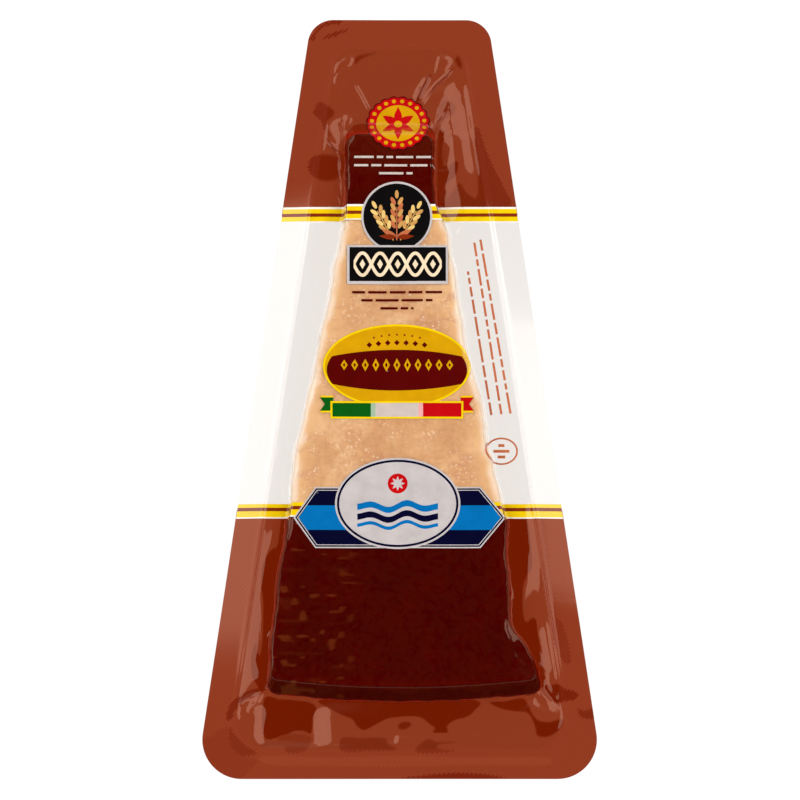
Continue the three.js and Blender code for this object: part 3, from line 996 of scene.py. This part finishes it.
def make_front_face():
    """The front film where it lies on the cheese's face."""
    rings = []
    edge = wedge_ring(-EDGE_INSET)
    for share in np.linspace(0, 1, 60) ** 1.4:
        p = face_ring(share, EDGE_INSET)
        fall = edge_fall(p, np.linalg.norm(p - edge, axis=1))
        relief = smooth(share, 0, 0.06) * pucker_relief(p) + crease_relief(p)
        rings.append(raised(p, face_z(p) - fall + relief))
    vertices = np.concatenate(rings)
    faces = skin(len(rings), len(rings[0]))
    return make_mesh("front_film_on_cheese", vertices, faces, [FACE_BROWN, FACE_CLEAR],
                     ink_by_y(vertices, faces), {"loose": face_looseness(vertices[:, :2])})


def ink_by_y(vertices, faces):
    """0 for faces of the film that are printed brown, 1 for clear ones."""
    middle = vertices[faces].mean(axis=1)[:, 1]
    return ((middle < UPPER_BROWN) & (middle > LOWER_BROWN)).astype(int)


def rind_bow(z):
    """How far the rind bows out at a height, from 0 to 1."""
    return math.sin(math.pi * min(max(z / RIND_HEIGHT, 0), 1))


def wall_ring(z, tuck, pleats):
    """A ring of the back film's wall, with its rind bulge and its upright pleats."""
    p = wedge_ring(tuck, tuck, tuck + RIND_BULGE * rind_bow(z + 4))
    place = np.stack([np.arange(len(p)) / 14.0, np.full(len(p), z / 30)], -1)
    pleat = np.maximum(0, noise(place, 1.0, 31))
    return p + outward(p) * (PLEAT_DEPTH * pleats * pleat)[:, None]


def make_back_film():
    """The clear formed film: under the weld, in against the cheese, down its wall and across its back."""
    rings = weld_rings(FILM_GAP, curl=0.0) + free_rings(BACK_FREE_COUNT, FILM_GAP)
    foot = rings[-1]
    for depth in WALL_DEPTHS:
        z = foot[:, 2] * (1 - depth / WALL_HEIGHT)
        p = wall_ring(float(np.mean(z)), 0.4, smooth(depth, 0, 5) * (1 - smooth(depth, 18, 24)))
        rings.append(raised(lerp(foot[:, :2], p, smooth(depth, 0, WALL_EASE)), z))
    rings += [raised(wedge_ring(0.2), 0.06), raised(wedge_ring(-0.6), 0.0)]
    rings += [raised(face_ring(share, 0.6), 0.0) for share in np.linspace(0.08, 1, 12)]
    vertices = np.concatenate(rings)
    inner = vertices[len(WELD_INSETS) * len(foot):]
    inner[:, 2] += np.minimum(crease_relief(inner[:, :2]), 0) * (inner[:, 2] > UPPER_HALF)
    faces = skin(len(rings), len(foot))
    return make_mesh("clear_back_film", vertices, faces[:, ::-1], [BACK_CLEAR],
                     attributes={"loose": np.zeros(len(vertices))})


# ---------------------------------------------------------------- the cheese

def cheese_wall_ring(z, inset):
    """A ring of the cheese's wall, with the curve of its rind at the heel."""
    return wedge_ring(-inset, -inset, -inset + (RIND_BULGE + 0.2) * rind_bow(z + 3) ** 0.8)


def cheese_side_rings():
    """The rings of the cheese just inside the drape of the front film, down to its foot."""
    edge = wedge_ring(-EDGE_INSET)
    rings = []
    films = drape_rings()[-2::-1]
    for k, film in enumerate(films):
        flat = film[:, :2]
        reach = 1 - 0.8 * smooth(flat[:, 1], WEDGE_TIP - 1.5, WEDGE_TIP + 1)
        gap = lerp(FACE_GAP, 0.03, smooth(k, 0.6 * len(films), len(films) - 1))
        p = lerp(edge, flat, reach[:, None]) - gap * outward(flat)
        rings.append(raised(p, film[:, 2] - FACE_GAP))
    return rings


def cheese_face():
    """The rings of the cheese's face from its middle out, how pale they are, which is a painted glow, and how
    near the edge.
    """
    edge = wedge_ring(-EDGE_INSET)
    rings, pale, near_edge = [], [], []
    for share in np.linspace(1, 0, 36) ** 1.3:
        p = face_ring(share, EDGE_INSET)
        from_edge = np.linalg.norm(p - edge, axis=1)
        rings.append(raised(p, face_z(p) - edge_fall(p, from_edge) - FACE_GAP))
        # Painted glow: paler near the cut edge, for light glowing through the cheese there, and paler all
        # over towards the tip.
        cut = 1 - smooth(from_edge + 0.7 * noise(p, 3.0, 66), 0.1, 1.9)
        pale.append(np.maximum(cut, smooth(p[:, 1], 49, 56)))
        near_edge.append(np.exp(-np.maximum(from_edge - 1.0, 0) / 2.8))
    return rings, pale, near_edge


def cheese_side():
    """The rings of the cheese's sides from the edge down, and how pale they are, which is a painted glow."""
    y = wedge_ring(-EDGE_INSET)[:, 1]
    in_clear = smooth(y, LOWER_BROWN - 1, LOWER_BROWN + 1) * smooth(-y, -UPPER_BROWN - 1, 1 - UPPER_BROWN)
    rings = cheese_side_rings()
    # Painted glow: the drape's rings are pale only where the film is clear, and the wall below is pale near
    # its top and less so further down.
    pale = [in_clear] * len(rings)
    foot, foot_z = rings[-1][:, :2], rings[-1][:, 2]
    for share in CHEESE_WALL_SHARES:
        z = lerp(foot_z, BACK_HEIGHT + BACK_ROUND, share)
        wall = cheese_wall_ring(float(z.mean()), CHEESE_INSET)
        rings.append(raised(lerp(foot, wall, smooth(foot_z.mean() - z.mean(), 0, WALL_EASE)), z))
        pale.append(lerp(in_clear, 1.0, smooth(share, 0.05, 0.3)) * (1 - 0.7 * smooth(share, 0.1, 0.5)))
    return rings, pale


def cheese_back():
    """The rings of the cheese's rounded lower edge and of its flat back."""
    rings = []
    for turn in np.radians(np.linspace(20, 90, 4)):
        inset = CHEESE_INSET + BACK_ROUND * (1 - math.cos(turn))
        height = BACK_HEIGHT + BACK_ROUND - BACK_ROUND * math.sin(turn)
        rings.append(raised(cheese_wall_ring(1.0, inset), height))
    return rings + [raised(face_ring(share, 1.6), BACK_HEIGHT) for share in np.linspace(0.05, 1, 11)]


def make_cheese():
    """The cheese itself, a closed solid with a granular surface."""
    face_rings, face_painted_glow, near_edge = cheese_face()
    side_rings, side_painted_glow = cheese_side()
    back_rings = cheese_back()
    rings = face_rings + side_rings + back_rings
    count = len(rings[0])
    pale = np.concatenate(face_painted_glow + side_painted_glow + [np.zeros(count)] * len(back_rings))
    near_edge += [np.full(count, 0.6)] * (len(rings) - len(near_edge))
    vertices = np.concatenate(rings)
    vertices[:, 2] += crease_relief(vertices[:, :2]) * (vertices[:, 2] > UPPER_HALF)
    heel = smooth(-vertices[:, 1], -WEDGE_HEEL - 4, -WEDGE_HEEL - 1)
    heel = heel * smooth(WEDGE_HEIGHT - vertices[:, 2], 0.6, 2.0)
    faces = skin(len(rings), count)[:, ::-1]
    piece = make_mesh("cheese_wedge", vertices, faces, [cheese_material()],
                      attributes={"pale": pale * (1 - heel), "rind": heel,
                                  "near_edge": np.concatenate(near_edge)})
    roughen(piece)
    return piece


def roughen(piece):
    """Moves the cheese's points in along their normals by grains and cracks, and notes where it cracked."""
    mesh = piece.data
    co = np.empty(len(mesh.vertices) * 3, np.float32)
    normals = np.empty(len(mesh.vertices) * 3, np.float32)
    mesh.vertices.foreach_get("co", co)
    mesh.vertex_normals.foreach_get("vector", normals)
    p = co.reshape(-1, 3) / MM
    wander = warp(p, 1.2, 2.4, (56, 57, 58))
    lines = np.exp(-(noise(wander * np.array([0.7, 1.3, 1.0]), CRACK_SIZE, 54) / CRACK_WIDTH) ** 2)
    crack = lines * smooth(noise(p, 8.0, 55), -0.05, 0.3)
    depth = np.maximum(GRAIN_BASE - layered_noise(p, GRAINS), 0) + CRACK_DEPTH * crack
    moved = p - normals.reshape(-1, 3) * depth[:, None]
    mesh.vertices.foreach_set("co", (moved * MM).astype(np.float32).ravel())
    layer = mesh.attributes.new("crack", "FLOAT", "POINT")
    layer.data.foreach_set("value", crack.astype(np.float32))
    mesh.update()


# ---------------------------------------------------------------- print on the film

def ellipse(cx, cy, rx, ry, count=96):
    """An ellipse's outline."""
    t = np.linspace(0, 2 * math.pi, count, endpoint=False)
    return np.stack([cx + rx * np.cos(t), cy + ry * np.sin(t)], -1)


def scalloped(cx, cy, rx, ry, scallops, depth):
    """An ellipse with a soft wavy edge."""
    t = np.linspace(0, 2 * math.pi, scallops * 10, endpoint=False)
    wave = 1 + depth * np.abs(np.sin(scallops * t / 2))
    return np.stack([cx + rx * wave * np.cos(t), cy + ry * wave * np.sin(t)], -1)


def box(x0, y0, x1, y1):
    """A rectangle's outline."""
    return np.array([(x0, y0), (x1, y0), (x1, y1), (x0, y1)])


def bar(cx, cy, width, height):
    """A rectangle round a centre."""
    return box(cx - width / 2, cy - height / 2, cx + width / 2, cy + height / 2)


def lozenge(cx, cy, width, height):
    """An upright diamond."""
    w, h = width / 2, height / 2
    return np.array([(cx + w, cy), (cx, cy + h), (cx - w, cy), (cx, cy - h)])


def turned(points, cx, cy, degrees):
    """Points turned about a centre."""
    a = math.radians(degrees)
    d = points - (cx, cy)
    return np.stack([cx + d[:, 0] * math.cos(a) - d[:, 1] * math.sin(a),
                     cy + d[:, 0] * math.sin(a) + d[:, 1] * math.cos(a)], -1)


def dense(outline, spacing):
    """An outline with points no further apart than a spacing."""
    result = []
    for a, b in zip(outline, np.roll(outline, -1, axis=0)):
        steps = max(1, int(math.ceil(np.linalg.norm(b - a) / spacing)))
        result += [a + (b - a) * k / steps for k in range(steps)]
    return np.array(result)


class FilmSurface:
    """The front film's upper surface, to lay print on."""

    def __init__(self, pieces):
        self.trees = []
        for piece in pieces:
            vertices = [v.co / MM for v in piece.data.vertices]
            polygons = [tuple(f.vertices) for f in piece.data.polygons]
            self.trees.append(BVHTree.FromPolygons(vertices, polygons))

    def height(self, x, y):
        """The height of the film at a place."""
        top = Vector((x, y, 100.0))
        hits = [tree.ray_cast(top, Vector((0, 0, -1)))[0] for tree in self.trees]
        heights = [hit.z for hit in hits if hit is not None]
        return max(heights) if heights else None


def make_print(name, shapes, surface, lift, spacing=0.6):
    """Ink on the film: each shape is an outline and an ink, and later shapes lie over earlier ones."""
    outlines = [dense(outline, spacing) for outline, _ in shapes]
    points = [tuple(p) for outline in outlines for p in outline]
    edges, start = [], 0
    for outline in outlines:
        count = len(outline)
        edges += [(start + k, start + (k + 1) % count) for k in range(count)]
        start += count
    everything = np.concatenate(outlines)
    low, high = everything.min(axis=0), everything.max(axis=0)
    grid_x, grid_y = np.meshgrid(np.arange(low[0], high[0], spacing), np.arange(low[1], high[1], spacing))
    points += list(zip(grid_x.ravel().tolist(), grid_y.ravel().tolist()))
    flat, _, triangles = delaunay_2d_cdt([Vector(p) for p in points], edges, [], 0, 1e-4)[:3]
    flat = np.array([tuple(p) for p in flat])
    triangles = np.array([t for t in triangles if len(t) == 3])
    middles = flat[triangles].mean(axis=1)
    ink_of = np.full(len(triangles), -1)
    inks = sorted({ink for _, ink in shapes})
    for outline, (_, ink) in zip(outlines, shapes):
        ink_of[inside(outline, middles)] = inks.index(ink)
    triangles, ink_of = triangles[ink_of >= 0], ink_of[ink_of >= 0]
    used = np.unique(triangles)
    heights = [surface.height(*flat[k]) for k in used]
    kept = np.array([h is not None for h in heights])
    z = np.array([h if h is not None else 0.0 for h in heights]) + lift
    number = np.full(len(flat), -1)
    number[used[kept]] = np.arange(kept.sum())
    whole = (number[triangles] >= 0).all(axis=1)
    vertices = np.column_stack([flat[used[kept]], z[kept]])
    piece = make_mesh(name, vertices, number[triangles[whole]], [INKS[ink] for ink in inks], ink_of[whole])
    declare(piece)
    return piece


DASH_HEIGHT = 0.6
DASH_GAP = 0.8


def dashes(x0, x1, y, ink, seed):
    """A broken line in the place of a line of fine print: plain dashes of uneven length."""
    random = np.random.default_rng(seed)
    shapes, x = [], x0
    while x < x1 - 0.3:
        end = min(x + random.uniform(1.6, 6.4), x1)
        shapes.append((box(x, y - DASH_HEIGHT / 2, end, y + DASH_HEIGHT / 2), ink))
        x = end + DASH_GAP
    return shapes


def fine_print(lines, ink, seed):
    """Level broken lines, each from x to x at a y."""
    return [shape for k, line in enumerate(lines) for shape in dashes(*line, ink, seed + k)]


UPPER_STRIPES = ((45.94, 50.05, "white"), (46.25, 49.52, "yellow"), (47.47, 48.35, "brown"))
LOWER_STRIPES = ((-32.05, -28.26, "white"), (-31.71, -28.26, "yellow"), (-30.14, -29.23, "brown"))
STRIPE_INSET = 0.25


def stripe_shapes(bands):
    """Straight stripes right across the pack: (low y, high y, ink)."""
    shapes = []
    taper = (WIDE_WIDTH - NARROW_WIDTH) / 2 / PACK_LENGTH
    for low, high, ink in bands:
        a, b = (NARROW_WIDTH / 2 + (PACK_LENGTH / 2 - y) * taper - STRIPE_INSET for y in (low, high))
        shapes.append((np.array([(-a, low), (a, low), (b, high), (-b, high)]), ink))
    return shapes


def petal(cx, cy, reach, width, degrees):
    """A pointed leaf that starts near a centre."""
    t = np.linspace(0, 1, 9)
    side = width * np.sin(math.pi * t ** 0.8)
    leaf = np.concatenate([np.stack([side, t * reach], -1), np.stack([-side, t * reach], -1)[-2:0:-1]])
    return turned(leaf + (cx, cy), cx, cy, degrees)


def seal_shapes():
    """A round seal: a scalloped red field with gold beads, and a red flower on a gold middle."""
    cx, cy, rx, ry, scallops = -0.4, 71.9, 8.0, 7.2, 20
    shapes = [(scalloped(cx, cy, rx, ry, scallops, 0.06), "maroon"),
              (scalloped(cx, cy, rx * 0.965, ry * 0.965, scallops, 0.05), "red")]
    for k in range(scallops):
        turn = 2 * math.pi * (k + 0.5) / scallops
        bead = (cx + rx * 0.87 * math.cos(turn), cy + ry * 0.87 * math.sin(turn))
        shapes.append((ellipse(*bead, 0.55, 0.5, 16), "gold"))
    shapes.append((ellipse(cx, cy, rx * 0.72, ry * 0.72), "gold"))
    for k in range(6):
        shapes.append((petal(cx, cy, 4.7, 1.05, 60 * k), "red"))
    shapes.append((ellipse(cx, cy, 1.1, 1.0, 24), "gold"))
    return shapes


def grain_ear(cx, cy, degrees, kernels, inks):
    """An ear of grain: a stem with pairs of kernels and one at its tip, turned about its foot."""
    shapes = [(bar(cx, cy + 4.4, 0.3, 8.8), inks[0])]
    for k in range(kernels):
        for side in (-1, 1):
            place = (cx + side * 0.95, cy + 4.2 + 1.55 * k)
            kernel = turned(ellipse(*place, 0.52, 1.15, 20), *place, -28 * side)
            shapes.append((kernel, inks[(k + (side > 0)) % 2]))
    shapes.append((ellipse(cx, cy + 4.4 + 1.55 * kernels, 0.5, 1.1, 20), inks[1]))
    return [(turned(outline, cx, cy, degrees), ink) for outline, ink in shapes]


def disc_shapes():
    """A black disc with a pale rim, a sheaf of three ears of grain and a leafy foot."""
    cx, cy = -0.73, 46.71
    shapes = [(ellipse(cx, cy, 9.3, 9.3), "silver"), (ellipse(cx, cy, 8.75, 8.75), "black")]
    shapes += grain_ear(cx, cy - 6.2, 0, 5, ("russet", "tan"))
    for side in (-1, 1):
        shapes += grain_ear(cx + 0.9 * side, cy - 6.2, -28 * side, 4, ("tan", "wheat"))
    for degrees in (62, 86, -62, -86):
        shapes.append((petal(cx, cy - 5.4, 4.6, 0.7, degrees), "brown" if abs(degrees) > 80 else "russet"))
    return shapes


def plaque_shapes():
    """A black plaque with a pale border and a plait of two cream bands round lozenges."""
    shapes = [(box(-13.74, 28.9, 12.64, 39.18), "silver"), (box(-13.1, 29.69, 12.1, 38.66), "black")]
    middle_x, middle_y, eye, eyes = -0.5, 34.17, 4.6, 5
    x = np.linspace(-eyes * eye / 2, eyes * eye / 2, 121)
    for side in (-1, 1):
        wave = side * 2.9 * np.cos(math.pi * x / eye)
        half = 0.42 * np.hypot(1, np.gradient(wave, x))
        band = np.concatenate([np.stack([x, wave - half], -1), np.stack([x, wave + half], -1)[::-1]])
        shapes.append((band + (middle_x, middle_y), "cream"))
    for k in range(eyes):
        shapes.append((lozenge(middle_x + (k - (eyes - 1) / 2) * eye, middle_y, 1.5, 2.6), "cream"))
    return shapes


def ribbon_end(x, y, side, height, ink):
    """The forked end of a ribbon; side is -1 on the left and 1 on the right."""
    outline = np.array([(0, -height / 2), (3.4, -height / 2), (2.2, 0), (3.4, height / 2), (0, height / 2)])
    outline[:, 0] *= side
    return outline + (x, y), ink


def oval_shapes():
    """A golden oval label with a dark red band, lozenges and dots, and a straight three-colour ribbon."""
    cx, cy = -0.7, 7.35
    shapes = [(ellipse(cx, cy, 19.3, 11.05, 128), "yellow"), (ellipse(cx, cy, 18.75, 10.5, 128), "gold")]
    field = ellipse(cx, cy - 1.0, 18.3, 9.5, 128)
    bow = 0.006 * (field[:, 0] - cx) ** 2
    field[:, 1] = np.clip(field[:, 1], cy - 6.4 + bow, cy + 4.3 - bow)
    shapes.append((field, "maroon"))
    for k in range(11):
        x, height = cx + (k - 5) * 2.75, 3.5 - 0.03 * (k - 5) ** 2
        shapes.append((lozenge(x, cy + 0.3, 1.8, height), "gold"))
        shapes.append((lozenge(x, cy + 0.3, 0.7, 0.4 * height), "maroon"))
    for k in range(7):
        x = cx + (k - 3) * 2.4
        shapes.append((lozenge(x, cy + 6.2 - 0.07 * (k - 3) ** 2, 1.5, 1.5), "maroon"))
        shapes.append((ellipse(cx + (k - 3) * 2.0, cy + 8.3 - 0.09 * (k - 3) ** 2, 0.28, 0.28, 12), "brown"))
    ribbon_y = -4.1
    for x, side, ink in ((-17.6, -1, "green"), (16.2, 1, "red")):
        shapes.append(ribbon_end(x - 0.3 * side, ribbon_y + 1.5, side, 4.4, "yellow"))
        shapes.append(ribbon_end(x - 0.3 * side, ribbon_y + 1.5, side, 3.5, ink))
    shapes.append((bar(cx, ribbon_y, 34.6, 4.6), "yellow"))
    for x0, x1, ink in ((-17.5, -7.5, "green"), (-7.5, -6.3, "pale_green"), (-6.3, 4.9, "pearl"),
                        (4.9, 6.1, "pale_red"), (6.1, 16.1, "red")):
        shapes.append((box(x0, ribbon_y - 1.8, x1, ribbon_y + 1.8), ink))
    return shapes


def banner_outline(grow):
    """The pointed banner's outline, grown outwards by a distance."""
    point, corner = grow * 1.3, grow * 0.5
    return np.array([(-27.6 - point, -32.3), (-21.9 - corner, -40.25 - grow), (21.0 + corner, -40.25 - grow),
                     (27.6 + point, -32.3), (21.0 + corner, -24.3 + grow), (-21.9 - corner, -24.3 + grow)])


def banner_shapes():
    """A pointed navy banner with a sky-blue middle, round a pale oval with plain waves and a red dot."""
    shapes = [(banner_outline(grow), ink)
              for grow, ink in ((0.0, "silver"), (-0.35, "navy"), (-0.75, "silver"), (-0.95, "navy"))]
    shapes.append((np.array([(-26.2, -32.3), (-24.0, -35.5), (23.9, -35.5), (26.2, -32.3), (23.9, -29.1),
                             (-24.0, -29.1)]), "sky"))
    for rx, ry, ink in ((16.3, 11.9, "silver"), (15.8, 11.4, "navy"), (15.2, 10.8, "silver")):
        shapes.append((ellipse(-0.5, -28.6, rx, ry), ink))
    x = np.linspace(-11.0, 10.0, 60)
    for y, ink, half in ((-34.2, "sky", 0.45), (-32.0, "navy", 0.8), (-29.4, "sky", 0.8)):
        wave = 0.9 * np.sin((x + 0.5) / 1.6) * (1 - ((x + 0.5) / 12) ** 2)
        upper, lower = np.stack([x, y + wave + half], -1), np.stack([x, y + wave - half], -1)
        shapes.append((np.concatenate([lower, upper[::-1]]), ink))
    shapes.append((ellipse(-0.5, -23.4, 2.6, 2.6, 40), "red"))
    for k in range(8):
        shapes.append((petal(-0.5, -23.4, 1.9, 0.35, 45 * k), "silver"))
    return shapes


SIDE_LINES = ((24.0, -4.9, 17.9, 33.0), (26.6, -4.7, 19.6, 40.6), (29.0, -4.5, 21.2, 41.4))


def side_print_shapes():
    """Three slanting broken lines beside the cheese."""
    shapes = []
    for k, (x0, y0, x1, y1) in enumerate(SIDE_LINES):
        length = math.hypot(x1 - x0, y1 - y0)
        angle = math.degrees(math.atan2(y1 - y0, x1 - x0))
        for outline, ink in dashes(x0, x0 + length, y0, "russet", 70 + k):
            shapes.append((turned(outline, x0, y0, angle), ink))
    return shapes


def mark_shapes():
    """A small oval outline that holds three bars; its middle is bare film."""
    cx, cy = 26.6, -14.4
    outer, inner = ellipse(cx, cy, 4.3, 3.6, 64), ellipse(cx, cy, 3.85, 3.15, 64)
    shapes = []
    for k in range(len(outer)):
        j = (k + 1) % len(outer)
        shapes.append((np.array([outer[k], outer[j], inner[j], inner[k]]), "russet"))
    for y, width in ((1.5, 1.6), (0.0, 4.2), (-1.5, 2.0)):
        shapes.append((bar(cx, cy + y, width, 0.75), "russet"))
    return shapes


UPPER_LINES = ((-11.9, 9.5, 62.5), (-11.9, 9.3, 60.3), (-5.4, 3.4, 58.2))
LOWER_LINES = ((-12.4, 11.1, 26.8), (-10.0, 8.6, 24.7), (-5.0, 3.6, 22.6))


# How far off the film the print lies: on the film itself, and over one or two other layers.
FIRST_LIFT, SECOND_LIFT, THIRD_LIFT = 0.06, 0.09, 0.12


def make_all_print(surface):
    """All the print on the front film: each piece's name, shapes, lift off the film and spacing."""
    for name, shapes, lift, spacing in (
            ("upper_stripes", stripe_shapes(UPPER_STRIPES), FIRST_LIFT, 0.3),
            ("lower_stripes", stripe_shapes(LOWER_STRIPES), FIRST_LIFT, 0.3),
            ("round_seal", seal_shapes(), FIRST_LIFT, 0.5),
            ("black_disc", disc_shapes(), SECOND_LIFT, 0.5),
            ("black_plaque", plaque_shapes(), THIRD_LIFT, 0.5),
            ("oval_label", oval_shapes(), FIRST_LIFT, 0.6),
            ("pointed_banner", banner_shapes(), SECOND_LIFT, 0.6),
            ("upper_fine_print", fine_print(UPPER_LINES, "pearl", 80), FIRST_LIFT, 0.5),
            ("lower_fine_print", fine_print(LOWER_LINES, "maroon", 90), FIRST_LIFT, 0.5),
            ("side_fine_print", side_print_shapes(), FIRST_LIFT, 0.5),
            ("oval_mark", mark_shapes(), FIRST_LIFT, 0.5)):
        make_print(name, shapes, surface, lift, spacing)


# ---------------------------------------------------------------- floor, light and camera

FLOOR_SIZE = 6000
FLOOR_HEIGHT = -0.05
SOFTBOX_ANGLE = 34
SOFTBOX_LEAN = 5
SOFTBOX_DISTANCE = 1.7
SOFTBOX_WIDTH = 1.15
SOFTBOX_LENGTH = 2.2
SOFTBOX_RADIANCE = 2.6

# How bright the room is, by how far up one looks: 0 is level and 1 is straight up.
ROOM_LEVELS = ((0.0, 0.95), (0.5, 0.80), (0.80, 0.45), (0.93, 0.10), (0.97, 0.02))


def make_floor():
    """A plain pale floor that glows, so that it stays white under the pack."""
    material, output = new_material("pale_floor")
    paper = add(material, "BsdfDiffuse", Color=(0.10, 0.10, 0.10, 1))
    glow = add(material, "Emission", Color=(1, 1, 1, 1), Strength=0.93)
    both = add(material, "AddShader")
    link(material, (paper.outputs[0], both.inputs[0]), (glow.outputs[0], both.inputs[1]),
         (both.outputs[0], output.inputs["Surface"]))
    corners = box(-FLOOR_SIZE, -FLOOR_SIZE, FLOOR_SIZE, FLOOR_SIZE)
    make_mesh("floor", raised(corners, FLOOR_HEIGHT), [(0, 1, 2, 3)], [material])


def make_softbox(name, across):
    """A long rectangular light that looks at the pack from an angle off the vertical, in degrees."""
    light = bpy.data.lights.new(name, "AREA")
    light.shape = "RECTANGLE"
    light.size = SOFTBOX_WIDTH
    light.size_y = SOFTBOX_LENGTH
    light.energy = SOFTBOX_RADIANCE * math.pi * SOFTBOX_WIDTH * SOFTBOX_LENGTH
    lamp = bpy.data.objects.new(name, light)
    a, b = math.radians(across), math.radians(SOFTBOX_LEAN)
    direction = Vector((math.sin(a) * math.cos(b), math.sin(b), math.cos(a) * math.cos(b)))
    lamp.location = direction * SOFTBOX_DISTANCE
    lamp.rotation_euler = direction.to_track_quat("Z", "X").to_euler()
    lamp.visible_camera = False
    bpy.context.scene.collection.objects.link(lamp)


def make_light():
    """Two long softboxes at the sides and a dim room that is darkest overhead."""
    make_softbox("left_softbox", -SOFTBOX_ANGLE)
    make_softbox("right_softbox", SOFTBOX_ANGLE)
    world = bpy.data.worlds.new("studio")
    bpy.context.scene.world = world
    world.use_nodes = True
    nodes, links = world.node_tree.nodes, world.node_tree.links
    nodes.clear()
    place = nodes.new("ShaderNodeTexCoord")
    split = nodes.new("ShaderNodeSeparateXYZ")
    ramp = nodes.new("ShaderNodeValToRGB")
    background = nodes.new("ShaderNodeBackground")
    output = nodes.new("ShaderNodeOutputWorld")
    elements = ramp.color_ramp.elements
    for k, (position, level) in enumerate(ROOM_LEVELS):
        stop = elements[k] if k < 2 else elements.new(position)
        stop.position, stop.color = position, (level, level, level, 1)
    links.new(place.outputs["Generated"], split.inputs[0])
    links.new(split.outputs["Z"], ramp.inputs["Fac"])
    links.new(ramp.outputs["Color"], background.inputs["Color"])
    links.new(background.outputs[0], output.inputs["Surface"])


def make_camera():
    """A long lens that looks down at the pack, a little from its wide end."""
    camera = bpy.data.objects.new("camera", bpy.data.cameras.new("camera"))
    camera.data.lens = CAMERA_LENS
    camera.data.sensor_width = SENSOR_WIDTH
    camera.data.clip_start = 0.05
    camera.data.clip_end = 50.0
    x, y, z = CAMERA_TARGET
    camera.location = (x * MM, (y - CAMERA_DISTANCE * math.sin(CAMERA_TILT)) * MM,
                       (z + CAMERA_DISTANCE * math.cos(CAMERA_TILT)) * MM)
    camera.rotation_euler = (CAMERA_TILT, 0, 0)
    bpy.context.scene.collection.objects.link(camera)
    bpy.context.scene.camera = camera
    bpy.context.scene.view_settings.view_transform = "Standard"


# ---------------------------------------------------------------- the whole pack

make_camera()
make_light()
make_floor()

cheese = make_cheese()
declare(cheese)
back = make_back_film()
declare(back)
weld = make_weld_film()
declare(weld)
web = make_front_web()
declare(web)
face = make_front_face()
declare(face)
make_all_print(FilmSurface([weld, web, face]))
